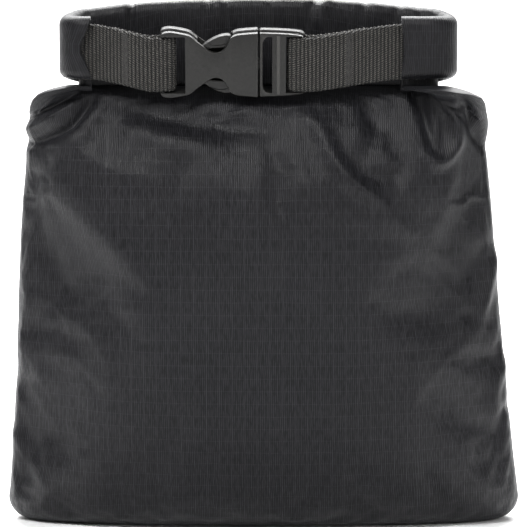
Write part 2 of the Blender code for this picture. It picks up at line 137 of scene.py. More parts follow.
# ------------------------------------------------------------------ finishes
class Shader:
    """A small builder for one material's nodes."""

    def __init__(self, name: str) -> None:
        """Start a material with a Principled shader."""
        self.material = bpy.data.materials.new(name)
        self.material.use_nodes = True
        self.tree = self.material.node_tree
        self.shader = self.tree.nodes["Principled BSDF"]

    def node(self, kind: str, **inputs: object) -> bpy.types.Node:
        """Add a node and set or link its inputs.

        Args:
            kind: the node's type name without its common prefix.
            inputs: attribute names, or input names with spaces as underscores.

        Returns:
            The new node.
        """
        made = self.tree.nodes.new("ShaderNode" + kind)
        for key, value in inputs.items():
            if hasattr(made, key):
                setattr(made, key, value)
                continue
            self.feed(made.inputs[int(key[1:])] if key[1:].isdigit() else made.inputs[key.replace("_", " ")], value)
        return made

    def feed(self, socket: bpy.types.NodeSocket, value: object) -> None:
        """Link a socket to an output, or set its value."""
        if isinstance(value, bpy.types.NodeSocket):
            self.tree.links.new(value, socket)
        else:
            socket.default_value = value

    def math(self, operation: str, a: object, b: object = 0.0) -> bpy.types.NodeSocket:
        """One math step."""
        return self.node("Math", operation=operation, i0=a, i1=b).outputs[0]

    def mix(self, share: object, a: object, b: object) -> bpy.types.NodeSocket:
        """Mix two colours."""
        made = self.node("Mix", data_type="RGBA")
        self.feed(made.inputs[0], share)
        self.feed(made.inputs[6], a)
        self.feed(made.inputs[7], b)
        return made.outputs[2]

    def spread(self, value: object, low: float, high: float, to_low: float = 0.0, to_high: float = 1.0) -> bpy.types.NodeSocket:
        """Map one range of values to another, with a soft start and end."""
        made = self.node("MapRange", interpolation_type="SMOOTHSTEP")
        for number, item in enumerate((value, low, high, to_low, to_high)):
            self.feed(made.inputs[number], item)
        return made.outputs[0]

    def noise(self, vector: object, scale: float, detail: float = 3.0) -> bpy.types.NodeSocket:
        """Noise value at a vector."""
        return self.node("TexNoise", Vector=vector, Scale=scale, Detail=detail).outputs[0]

    def bump(self, height: object, distance: float, strength: float = 1.0, after: object = None) -> bpy.types.NodeSocket:
        """A bumped normal, on top of an earlier one where given."""
        made = self.node("Bump", Height=height, Distance=distance, Strength=strength)
        if after is not None:
            self.feed(made.inputs["Normal"], after)
        return made.outputs[0]

    def lines(self, along: object, pitch: float, width: float) -> bpy.types.NodeSocket:
        """Thin lines across a coordinate: 1 on a line and 0 between."""
        phase = self.math("FRACT", self.math("DIVIDE", along, pitch))
        off = self.math("ABSOLUTE", self.math("SUBTRACT", phase, 0.5))
        return self.spread(off, width / pitch, 0.0)


@dataclass(frozen=True)
class RipstopFinish:
    """Thin coated nylon: fine upright threads, a faint raised grid, soft satin."""

    colour: Point = (0.0020, 0.0019, 0.0025)
    light: Point = (0.0230, 0.0228, 0.0262)
    thread: float = 0.00069
    grid: float = 0.0047
    roughness: float = 0.43

    def material(self, name: str) -> bpy.types.Material:
        """Build the cloth.

        Args:
            name: the material's name.

        Returns:
            The material.
        """
        s = Shader(name)
        place = s.node("UVMap", uv_map="cloth").outputs[0]
        split = s.node("SeparateXYZ", Vector=place)
        u, v = split.outputs[0], split.outputs[1]
        wander = s.noise(place, 55.0, 2.0)
        shifted = s.math("ADD", u, s.math("MULTIPLY", wander, 0.0012))
        wave = s.math("SINE", s.math("MULTIPLY", shifted, 2 * math.pi / self.thread))
        threads = s.math("MULTIPLY_ADD", wave, 0.5)
        s.tree.nodes[-1].inputs[2].default_value = 0.5
        cross = s.math("SINE", s.math("MULTIPLY", v, 2 * math.pi / (self.thread * 0.62)))
        upright = s.lines(u, self.grid, 0.00034)
        level = s.lines(s.math("ADD", v, s.math("MULTIPLY", wander, 0.0006)), self.grid, 0.00030)
        grid = s.math("MAXIMUM", s.math("MULTIPLY", upright, 0.8), s.math("MULTIPLY", level, 0.7))
        stretch = s.node("Mapping", Vector=place, Scale=(1450.0, 260.0, 1.0)).outputs[0]
        streak = s.noise(stretch, 1.0, 2.0)
        cloud = s.noise(place, 28.0, 4.0)
        broken = s.math("MULTIPLY", threads, s.spread(streak, 0.30, 0.62, 0.45, 1.0))
        tone = s.math("ADD", s.math("MULTIPLY", broken, 0.62), s.math("MULTIPLY", streak, 0.26))
        tone = s.math("ADD", tone, s.math("MULTIPLY", grid, 0.30))
        tone = s.math("ADD", tone, s.math("MULTIPLY", s.math("SUBTRACT", cloud, 0.5), 0.30))
        tone = s.spread(tone, 0.05, 1.05)
        s.feed(s.shader.inputs["Base Color"], s.mix(tone, (*self.colour, 1), (*self.light, 1)))
        rough = s.math("ADD", self.roughness - 0.08, s.math("MULTIPLY", streak, 0.16))
        s.feed(s.shader.inputs["Roughness"], rough)
        fine = s.math("ADD", broken, s.math("MULTIPLY", cross, 0.15))
        fine = s.math("ADD", fine, s.math("MULTIPLY", streak, 0.6))
        normal = s.bump(fine, 0.00010, 0.7)
        normal = s.bump(grid, 0.00007, 0.45, normal)
        normal = s.bump(s.noise(place, 160.0, 3.0), 0.0004, 0.30, normal)
        s.feed(s.shader.inputs["Normal"], normal)
        s.shader.inputs["Specular IOR Level"].default_value = 0.20
        s.shader.inputs["Sheen Weight"].default_value = 0.03
        s.shader.inputs["Sheen Roughness"].default_value = 0.45
        s.shader.inputs["Sheen Tint"].default_value = (0.80, 0.85, 0.90, 1.0)
        return s.material


@dataclass(frozen=True)
class WebbingFinish:
    """Heavy dull webbing: short floats of yarn in upright columns."""

    dark: Point = (0.0030, 0.0028, 0.0026)
    light: Point = (0.105, 0.100, 0.090)
    column: float = 0.00138
    row: float = 0.00076

    def material(self, name: str) -> bpy.types.Material:
        """Build the webbing.

        Args:
            name: the material's name.

        Returns:
            The material.
        """
        s = Shader(name)
        place = s.node("UVMap", uv_map="cloth").outputs[0]
        split = s.node("SeparateXYZ", Vector=place)
        u, v = split.outputs[0], split.outputs[1]
        wander = s.noise(place, 420.0, 2.0)
        across = s.math("DIVIDE", s.math("ADD", v, s.math("MULTIPLY", wander, 0.00028)), self.row)
        along = s.math("DIVIDE", s.math("ADD", u, s.math("MULTIPLY", wander, 0.00016)), self.column)
        lean = s.math("SUBTRACT", s.math("FRACT", along), 0.5)
        column = s.math("FLOORED_MODULO", s.math("FLOOR", along), 2.0)
        across = s.math("ADD", across, s.math("ADD", s.math("MULTIPLY", lean, 0.9), s.math("MULTIPLY", column, 0.5)))
        bead_u = s.math("ABSOLUTE", s.math("SINE", s.math("MULTIPLY", along, math.pi)))
        bead_v = s.math("ABSOLUTE", s.math("SINE", s.math("MULTIPLY", across, math.pi)))
        bead = s.math("MULTIPLY", s.math("POWER", bead_u, 1.3), s.math("POWER", bead_v, 2.0))
        fibre = s.noise(s.node("Mapping", Vector=place, Scale=(900.0, 5200.0, 1.0)).outputs[0], 1.0, 2.0)
        fleck = s.noise(place, 2600.0, 2.0)
        tone = s.math("MULTIPLY", bead, s.math("ADD", 0.55, s.math("MULTIPLY", fibre, 0.7)))
        tone = s.math("MULTIPLY", tone, s.spread(fleck, 0.30, 0.70, 0.45, 1.40))
        tone = s.spread(tone, 0.10, 0.85)
        s.feed(s.shader.inputs["Base Color"], s.mix(tone, (*self.dark, 1), (*self.light, 1)))
        s.feed(s.shader.inputs["Roughness"], s.spread(fibre, 0.2, 0.8, 0.82, 0.6))
        normal = s.bump(s.math("ADD", bead, s.math("MULTIPLY", fibre, 0.25)), 0.00040, 1.0)
        s.feed(s.shader.inputs["Normal"], normal)
        s.shader.inputs["Specular IOR Level"].default_value = 0.3
        s.shader.inputs["Sheen Weight"].default_value = 0.05
        return s.material


@dataclass(frozen=True)
class MouldedPlastic:
    """Warm dark acetal with a fine spark-eroded grain, and a painted highlight that lightens its convex edges."""

    dark: Point = (0.0030, 0.0029, 0.0026)
    light: Point = (0.0115, 0.0111, 0.0101)
    grain: float = 2300.0
    roughness: float = 0.43

    def material(self, name: str) -> bpy.types.Material:
        """Build the plastic.

        Args:
            name: the material's name.

        Returns:
            The material.
        """
        s = Shader(name)
        place = s.node("TexCoord").outputs["Object"]
        grain = s.noise(place, self.grain, 2.0)
        coarse = s.noise(place, 900.0, 3.0)
        cloud = s.noise(place, 120.0, 2.0)
        tone = s.math("ADD", s.math("MULTIPLY", grain, 0.55), s.math("MULTIPLY", coarse, 0.45))
        tone = s.spread(tone, 0.34, 0.68)
        tone = s.math("MULTIPLY", tone, s.spread(cloud, 0.2, 0.8, 0.75, 1.0))
        # painted highlight: convex edges, found by pointiness, are mixed towards a pale grey
        painted_edge_highlight = s.spread(s.node("NewGeometry").outputs["Pointiness"], 0.52, 0.62)
        colour = s.mix(tone, (*self.dark, 1), (*self.light, 1))
        s.feed(s.shader.inputs["Base Color"], s.mix(s.math("MULTIPLY", painted_edge_highlight, 0.4), colour, (0.10, 0.098, 0.092, 1)))
        rough = s.spread(grain, 0.3, 0.7, self.roughness - 0.05, self.roughness + 0.13)
        s.feed(s.shader.inputs["Roughness"], rough)
        height = s.math("ADD", s.math("MULTIPLY", grain, 0.6), coarse)
        s.feed(s.shader.inputs["Normal"], s.bump(height, 0.00009, 0.55))
        s.shader.inputs["Specular IOR Level"].default_value = 0.36
        return s.material


@dataclass(frozen=True)
class ThreadFinish:
    """Twisted sewing thread."""

    colour: Point = (0.010, 0.0095, 0.009)

    def material(self, name: str) -> bpy.types.Material:
        """Build the thread."""
        s = Shader(name)
        place = s.node("TexCoord").outputs["Object"]
        twist = s.noise(place, 5200.0, 2.0)
        pale = tuple(c * 3.2 for c in self.colour)
        s.feed(s.shader.inputs["Base Color"], s.mix(s.spread(twist, 0.3, 0.7), (*self.colour, 1), (*pale, 1)))
        s.feed(s.shader.inputs["Roughness"], s.spread(twist, 0.3, 0.7, 0.5, 0.75))
        s.feed(s.shader.inputs["Normal"], s.bump(twist, 0.00008, 0.8))
        return s.material


@dataclass(frozen=True)
class TapeFinish:
    """Clear sealing film with a faint cloudy print of the cloth."""

    colour: Point = (0.16, 0.165, 0.17)
    roughness: float = 0.3

    def material(self, name: str) -> bpy.types.Material:
        """Build the film."""
        s = Shader(name)
        place = s.node("TexCoord").outputs["Object"]
        cloud = s.noise(place, 240.0, 4.0)
        dark = tuple(c * 0.6 for c in self.colour)
        s.feed(s.shader.inputs["Base Color"], s.mix(cloud, (*dark, 1), (*self.colour, 1)))
        s.feed(s.shader.inputs["Roughness"], s.spread(cloud, 0.3, 0.7, self.roughness, self.roughness + 0.2))
        s.feed(s.shader.inputs["Normal"], s.bump(s.noise(place, 1500.0), 0.00005, 0.6))
        return s.material


# ------------------------------------------------------------------ shared shape of roll and neck
@dataclass
class RollPath:
    """The bent line the rolled mouth follows, seen from above."""

    left: float = -0.0738
    right: float = 0.0702
    bend: float = 0.0070
    back: float = -0.0010
    half: float = 0.00358
    flap_left: float = 0.0010
    flap_right: float = 0.0098
    top: float = 0.1905
    under: float = 0.1615
    arch: float = 0.0035
    under_arch: float = 0.0017
    flap_under: float = 0.0027
    flap_top: float = 0.0022

    def __post_init__(self) -> None:
        """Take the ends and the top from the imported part."""
        low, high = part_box("mouth_roll")
        self.left, self.right, self.top = low.x, high.x, high.z
        self.left_centre = self.left + self.bend + self.half
        self.right_centre = self.right - self.bend - self.half
        self.flap_y = self.back - 2 * self.bend
        self.turn = math.pi * self.bend
        self.straight = self.right_centre - self.left_centre
        self.length = self.flap_left + self.flap_right + self.straight + 2 * self.turn

    def place(self, s: float) -> tuple[float, float, float, float]:
        """Point and outward direction at a length along the path.

        Args:
            s: length from the left flap's end.

        Returns:
            x, y and the outward direction's x, y.
        """
        middle = self.back - self.bend
        if s < self.flap_left:
            return self.left_centre + self.flap_left - s, self.flap_y, 0.0, -1.0
        s -= self.flap_left
        if s < self.turn:
            angle = -math.pi / 2 - s / self.bend
            return (
                self.left_centre + self.bend * math.cos(angle),
                middle + self.bend * math.sin(angle),
                math.cos(angle),
                math.sin(angle),
            )
        s -= self.turn
        if s < self.straight:
            return self.left_centre + s, self.back, 0.0, 1.0
        s -= self.straight
        if s < self.turn:
            angle = math.pi / 2 - s / self.bend
            return (
                self.right_centre + self.bend * math.cos(angle),
                middle + self.bend * math.sin(angle),
                math.cos(angle),
                math.sin(angle),
            )
        return self.right_centre - (s - self.turn), self.flap_y, 0.0, -1.0

    def levels(self, s: float) -> tuple[float, float]:
        """Underside and top of the roll at a length along the path."""
        x = self.place(s)[0]
        middle = (self.left_centre + self.right_centre) / 2
        share = min(abs(x - middle) / (self.straight / 2), 1.0) ** 2
        if s < self.flap_left + self.turn / 2 or s > self.length - self.flap_right - self.turn / 2:
            share = 1.0
        round_left = float(smoothstep(self.flap_left + self.turn, self.flap_left + self.turn * 0.35, s))
        start = self.length - self.flap_right
        round_right = float(smoothstep(start - self.turn, start - self.turn * 0.35, s))
        front = max(round_left, round_right)
        under = self.under - self.under_arch * share + self.flap_under * front
        return under, self.top - self.arch * share - self.flap_top * front


def smooth_line(points: np.ndarray, steps: int = 5) -> np.ndarray:
    """A rounded line through given points.

    Args:
        points: rows of coordinates.
        steps: parts between two points.

    Returns:
        The finer rows.
    """
    padded = np.vstack([2 * points[0] - points[1], points, 2 * points[-1] - points[-2]])
    fine = []
    for p0, p1, p2, p3 in zip(padded, padded[1:], padded[2:], padded[3:]):
        for t in np.arange(steps) / steps:
            curve = 2 * p1 + (p2 - p0) * t + (2 * p0 - 5 * p1 + 4 * p2 - p3) * t**2
            fine.append(0.5 * (curve + (3 * p1 - p0 - 3 * p2 + p3) * t**3))
    return np.array(fine + [points[-1]])


@dataclass(frozen=True)
class Fold:
    """One fold in the cloth: a ridge, or a valley where the height is negative.

    Points are x and z on the front in millimetres, height and width too.
    """

    points: tuple[tuple[float, float], ...]
    height: float
    width: float
    sharp: float = 2.0

    def lift(self, x: np.ndarray, z: np.ndarray) -> np.ndarray:
        """Height of the fold at each place, in metres.

        Args:
            x: places across, in metres.
            z: places up, in metres.

        Returns:
            Heights, outward positive.
        """
        line = smooth_line(np.array(self.points) * MM)
        cut = np.linalg.norm(np.diff(line, axis=0), axis=1)
        total, run = cut.sum(), 0.0
        best = np.full(x.shape, 1e9)
        share = np.zeros(x.shape)
        for a, b, long in zip(line, line[1:], cut):
            t = ((x - a[0]) * (b[0] - a[0]) + (z - a[1]) * (b[1] - a[1])) / long**2
            t = np.clip(t, 0, 1)
            far = np.hypot(x - a[0] - t * (b[0] - a[0]), z - a[1] - t * (b[1] - a[1]))
            near = far < best
            best = np.where(near, far, best)
            share = np.where(near, (run + t * long) / total, share)
            run += long
        fade = np.sin(np.clip(share, 0.0, 1.0) * math.pi) ** 0.6
        swell = 0.35 + 0.65 * fade
        return self.height * MM * swell * np.exp(-((best / (self.width * MM)) ** self.sharp))


@dataclass
class BagBody:
    """Front and back cloth, sewn round the sides and the bottom, filled and standing."""

    path: RollPath
    width: float = 0.187
    depth: float = 0.060
    neck: float = 0.1592
    left_taper: float = 0.0059
    right_taper: float = 0.0113
    shoulder: float = 0.118
    corner: float = 0.0085
    slope: float = 0.10
    plump_left: float = 0.0004
    plump_right: float = 0.0026
    heel_depth: float = 0.017
    heel_height: float = 0.028
    neck_half: float = 0.0009
    neck_in: float = 0.00295
    columns: int = 104
    swell: float = 3.0
    grow: float = 0.014
    cap: float = 0.005
    frames: int = 20
    folds: list[Fold] = field(default_factory=list)
    back_folds: list[Fold] = field(default_factory=list)

    def side_width(self, z: float, sign: int) -> float:
        """Half-width at a height, on the left (-1) or the right (1)."""
        taper = self.left_taper if sign < 0 else self.right_taper
        power = 0.7 if sign < 0 else 0.9
        reach = min(max((z - self.corner) / (self.shoulder - self.corner), 0.0), 1.0)
        width = self.width / 2 - taper * reach**power - self.slope * max(z - self.shoulder, 0.0)
        if z < self.corner:
            width -= self.corner - math.sqrt(self.corner**2 - (self.corner - z) ** 2)
        return width

    def half_depth(self, z: float) -> float:
        """Half-depth at a height."""
        depth = self.depth / 2
        if z < self.heel_height:
            fall = 1 - z / self.heel_height
            depth -= self.heel_depth * (1 - math.sqrt(1 - fall**2))
        return depth

    def closing(self, z: float) -> float:
        """0 on the full body, 1 at the neck."""
        reach = min(max((z - self.shoulder) / (self.neck - self.shoulder), 0.0), 1.0)
        return 1 - math.sqrt(1 - reach**2)

    def middle_line(self, along: float, z: float, sign: int) -> tuple[float, float, float, float]:
        """Point and backward direction on the section's middle line.

        Args:
            along: length from the middle.
            z: height.
            sign: -1 for the left half, 1 for the right.

        Returns:
            x, y and the backward direction's x, y.
        """
        share = self.closing(z)
        turn = math.pi * share**2
        arc = self.path.turn
        flap = self.path.flap_left if sign < 0 else self.path.flap_right
        start = self.half_length(z, sign) - flap - arc
        back = share * (self.path.back - self.neck_in)
        if along <= start or turn < 1e-6:
            return sign * along, back, 0.0, 1.0
        radius = arc / turn - share * self.neck_in
        turned = min((along - start) / arc, 1.0) * turn
        past = max(along - start - arc, 0.0)
        x = start + radius * math.sin(turned) + past * math.cos(turned)
        y = back - radius * (1 - math.cos(turned)) - past * math.sin(turned)
        return sign * x, y, sign * math.sin(turned), math.cos(turned)

    def half_length(self, z: float, sign: int) -> float:
        """Length of the middle line from the middle to a seam."""
        straight = -self.path.left_centre if sign < 0 else self.path.right_centre
        flap = self.path.flap_left if sign < 0 else self.path.flap_right
        share = self.closing(z) ** 2
        return self.side_width(z, sign) * (1 - share) + (straight + flap + self.path.turn) * share

    def point(self, front: bool, u: float, z: float) -> tuple[float, float]:
        """x and y on one panel at share u across and height z."""
        angle = math.pi * u
        sign = -1 if u < 0.5 else 1
        share = self.closing(z)
        thick = self.half_depth(z) * (1 - share) ** 1.15 + self.neck_half * share
        along = self.half_length(z, sign) * abs(math.cos(angle)) ** 0.91
        off = thick * math.sin(angle) ** (0.91 - 0.6 * share**3)
        x, y, ox, oy = self.middle_line(along, z, sign)
        off = -off if front else off
        return x + off * ox, y + off * oy

    def heights(self) -> list[float]:
        """Heights of the rows of cloth, closer near the shoulders and the bottom."""
        low = [self.corner * 1.6 * (1 - math.cos(math.pi / 2 * i / 16)) for i in range(16)]
        start, stop = self.corner * 1.6, self.shoulder
        middle = [start + (stop - start) * i / 52 for i in range(52)]
        top = [stop + (self.neck - stop) * math.sin(math.pi / 2 * i / 56) for i in range(57)]
        return low + middle + top

    def cloth_places(self, rows: np.ndarray) -> list[tuple[float, float]]:
        """Where each point lies on its flat panel, by length along the cloth.

        Args:
            rows: the points, row by row, front panel first and then the back.

        Returns:
            Length from the panel's middle and length up from the bottom.
        """
        half, seam, back = self.columns // 2, self.columns, self.columns + self.columns // 2
        climbs = np.linalg.norm(np.diff(rows, axis=0), axis=2).mean(axis=1)
        up = np.concatenate([[0.0], np.cumsum(climbs)])
        places = []
        for row, height in zip(rows, up):
            steps = np.linalg.norm(np.roll(row, -1, axis=0) - row, axis=1)
            across = np.zeros(len(row))
            across[:half] = -np.cumsum(steps[:half][::-1])[::-1]
            across[half + 1 : seam + 1] = np.cumsum(steps[half:seam])
            across[seam + 1 : back] = np.cumsum(steps[seam + 1 : back][::-1])[::-1]
            across[back + 1 :] = -np.cumsum(steps[back:-1])
            places += [(1.06 * a, 1.05 * height) for a in across]
        return places

    def grid(self) -> tuple[np.ndarray, list[list[int]], np.ndarray]:
        """Points, faces and cloth coordinates of both panels in one sewn skin.

        Returns:
            Points, faces and cloth coordinates.
        """
        heights = self.heights()
        count = 2 * self.columns
        points = []
        for z in heights:
            for i in range(count):
                front = i <= self.columns
                u = i / self.columns if front else 2 - i / self.columns
                x, y = self.point(front, u, z)
                outer = float(smoothstep(0.62, 0.86, abs(math.cos(math.pi * u)))) * (not front)
                rise = outer * math.exp(-(((z - 0.1565) / 0.0050) ** 2))
                plump = -self.plump_left if u < 0.5 else self.plump_right
                points.append((x + plump * rise, y, z + 0.0010 * rise))
        uv = self.cloth_places(np.array(points).reshape(len(heights), count, 3))
        faces = []
        for row in range(len(heights) - 1):
            for i in range(count):
                j = (i + 1) % count
                a, b = row * count, (row + 1) * count
                faces.append([a + i, a + j, b + j, b + i])
        base = list(range(count))
        rows = 7
        previous = base[: self.columns + 1], [base[0]] + base[self.columns :][::-1]
        for share in [1 - (k + 1) / rows for k in range(rows)]:
            rings = []
            for side, line in enumerate(previous if share == 1 - 1 / rows else rings_before):
                ring = [line[0]]
                for n in range(1, self.columns):
                    top = base[n] if side == 0 else base[count - n]
                    x, y, _ = points[top]
                    if share == 0 and side == 1:
                        ring.append(rings[0][n])
                        continue
                    ring.append(len(points))
                    points.append((x, y * share, 0.0))
                    uv.append((uv[top][0], -abs(y) * (1 - share)))
                ring.append(line[-1])
                rings.append(ring)
                for n in range(self.columns):
                    loop = [line[n], ring[n], ring[n + 1], line[n + 1]]
                    if side == 1:
                        loop = loop[::-1]
                    loop = list(dict.fromkeys(loop))
                    if len(loop) > 2:
                        faces.append(loop)
            rings_before = rings
        return np.array(points), faces, np.array(uv)

    def lift(self, points: np.ndarray, normals: np.ndarray) -> np.ndarray:
        """Outward height of the folds and ripples at given places.

        Args:
            points: places on the cloth.
            normals: the cloth's directions there.

        Returns:
            One height for each place, in metres.
        """
        x, z = points[:, 0], points[:, 2]
        front = smoothstep(-0.25, 0.25, -normals[:, 1])
        height = np.zeros(len(points))
        for fold in self.folds:
            height += front * fold.lift(x, z)
        for fold in self.back_folds:
            height += (1 - front) * fold.lift(x, z)
        height += ripple(points * np.array([1.0, 1.0, 0.45]), 0.022, 3.1) * 0.0005
        height += ripple(points * np.array([1.0, 1.0, 0.6]), 0.009, 7.7) * 0.00020
        return height * smoothstep(self.neck + 0.0002, self.neck - 0.008, z) * smoothstep(0.0, 0.012, z)

    def build(self, cloth: bpy.types.Material, film: bpy.types.Material) -> list[bpy.types.Object]:
        """Make the filled bag and the tapes over its side seams.

        Args:
            cloth: the bag's material.
            film: the tapes' material.

        Returns:
            The bag, the left tape and the right tape.
        """
        points, faces, uv = self.grid()
        bag = make_piece("bag_cloth", points, faces, uv)
        z = points[:, 2]
        hold = np.maximum(smoothstep(self.neck - 0.004, self.neck - 0.001, z), smoothstep(0.004, 0.0, z))
        count, ringed = 2 * self.columns, len(self.heights()) * 2 * self.columns
        column = np.arange(ringed) % count
        seam = np.minimum(np.minimum(column, count - column), np.abs(column - self.columns))
        hold[:ringed] = np.maximum(hold[:ringed], smoothstep(7.0, 2.0, seam))
        settle_cloth(bag, hold, self.swell, self.grow, self.cap, self.frames)
        tapes = [SeamTape(self, side).build(bag, film) for side in Side]
        fine = bag.modifiers.new("fine", "SUBSURF")
        fine.levels = fine.render_levels = 1
        finish_modifiers(bag)
        displace(bag, self.lift)
        bag.data.materials.append(cloth)
        return [bag, *tapes]


def displace(piece: bpy.types.Object, lift: Callable[[np.ndarray, np.ndarray], np.ndarray]) -> None:
    """Move each vertex along its normal, never below the ground.

    Args:
        piece: the piece to change.
        lift: gives heights from points and normals.
    """
    count = len(piece.data.vertices)
    points, normals = np.empty(count * 3, np.float32), np.empty(count * 3, np.float32)
    piece.data.vertices.foreach_get("co", points)
    piece.data.vertices.foreach_get("normal", normals)
    points, normals = points.reshape(-1, 3).astype(float), normals.reshape(-1, 3).astype(float)
    points += normals * lift(points, normals)[:, None]
    points[:, 2] = np.maximum(points[:, 2], 0.0)
    piece.data.vertices.foreach_set("co", points.astype(np.float32).ravel())
    piece.data.update()


def settle_cloth(piece: bpy.types.Object, hold: np.ndarray, swell: float, grow: float, cap: float, frames: int) -> None:
    """Let a piece fill as cloth, and keep the result.

    Args:
        piece: the cloth.
        hold: how firmly each vertex is held, 0 to 1.
        swell: pressure inside.
        grow: how much larger the cloth is cut than its shape.
        cap: how far a vertex may move, in metres.
        frames: steps to run.
    """
    start = np.empty(len(piece.data.vertices) * 3, np.float32)
    piece.data.vertices.foreach_get("co", start)
    group = piece.vertex_groups.new(name="hold")
    for level in np.unique(np.round(hold, 2)):
        if level > 0:
            group.add(np.nonzero(np.round(hold, 2) == level)[0].tolist(), float(level), "REPLACE")
    step = piece.modifiers.new("settle", "CLOTH")
    cloth = step.settings
    cloth.quality = 7
    cloth.mass = 0.12
    cloth.tension_stiffness = cloth.compression_stiffness = 18.0
    cloth.shear_stiffness = 6.0
    cloth.bending_stiffness = 0.05
    cloth.use_pressure = True
    cloth.uniform_pressure_force = swell
    cloth.shrink_min = -grow
    cloth.vertex_group_mass = "hold"
    cloth.effector_weights.gravity = 0.0
    step.collision_settings.use_collision = False
    step.point_cache.frame_end = frames
    for count in range(1, frames + 1):
        bpy.context.scene.frame_set(count)
    finish_modifiers(piece)
    piece.vertex_groups.clear()
    moved = np.empty_like(start)
    piece.data.vertices.foreach_get("co", moved)
    delta = (moved - start).reshape(-1, 3)
    far = np.linalg.norm(delta, axis=1)
    delta *= np.minimum(1.0, cap / np.maximum(far, 1e-9))[:, None]
    LOG.info("settled: moved %.4f m on average, %.4f m at most", far.mean(), far.max())
    piece.data.vertices.foreach_set("co", (start.reshape(-1, 3) + delta).ravel())
    piece.data.update()


@dataclass
class SeamTape:
    """A strip of sealing film over a side seam, on the cloth's inner face."""

    bag: BagBody
    side: Side
    reach: int = 7
    off: float = 0.00045
    thick: float = 0.00018
    top: float = 0.146

    def build(self, skin: bpy.types.Object, film: bpy.types.Material) -> bpy.types.Object:
        """Follow the finished cloth from the bottom corner to the shoulder.

        Args:
            skin: the finished bag cloth.
            film: the tape's material.

        Returns:
            The finished piece.
        """
        count = 2 * self.bag.columns
        seam = 0 if self.side is Side.LEFT else self.bag.columns
        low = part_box(f"seam_tape_{self.side.name.lower()}")[0].z
        rows = [i for i, z in enumerate(self.bag.heights()) if low <= z <= self.top]
        points, span = [], 2 * self.reach + 1
        for row in rows:
            ring = [skin.data.vertices[row * count + (seam + k) % count] for k in range(-self.reach, self.reach + 1)]
            place = np.array([v.co for v in ring])
            normal = np.array([v.normal for v in ring])
            lift = self.bag.lift(place, normal) - self.off
            points += (place + normal * lift[:, None]).tolist()
            points += (place + normal * (lift - self.thick)[:, None])[::-1].tolist()
        loop = 2 * span
        faces = []
        for r in range(len(rows) - 1):
            for i in range(loop):
                j = (i + 1) % loop
                faces.append([r * loop + i, r * loop + j, (r + 1) * loop + j, (r + 1) * loop + i])
        for r, turned in ((0, False), (len(rows) - 1, True)):
            for i in range(span - 1):
                quad = [r * loop + i, r * loop + i + 1, r * loop + loop - 2 - i, r * loop + loop - 1 - i]
                faces.append(quad[::-1] if turned else quad)
        tape = make_piece(f"tape_{self.side.name.lower()}", np.array(points), faces)
        turn_outward(tape)
        tape.data.materials.append(film)
        return tape


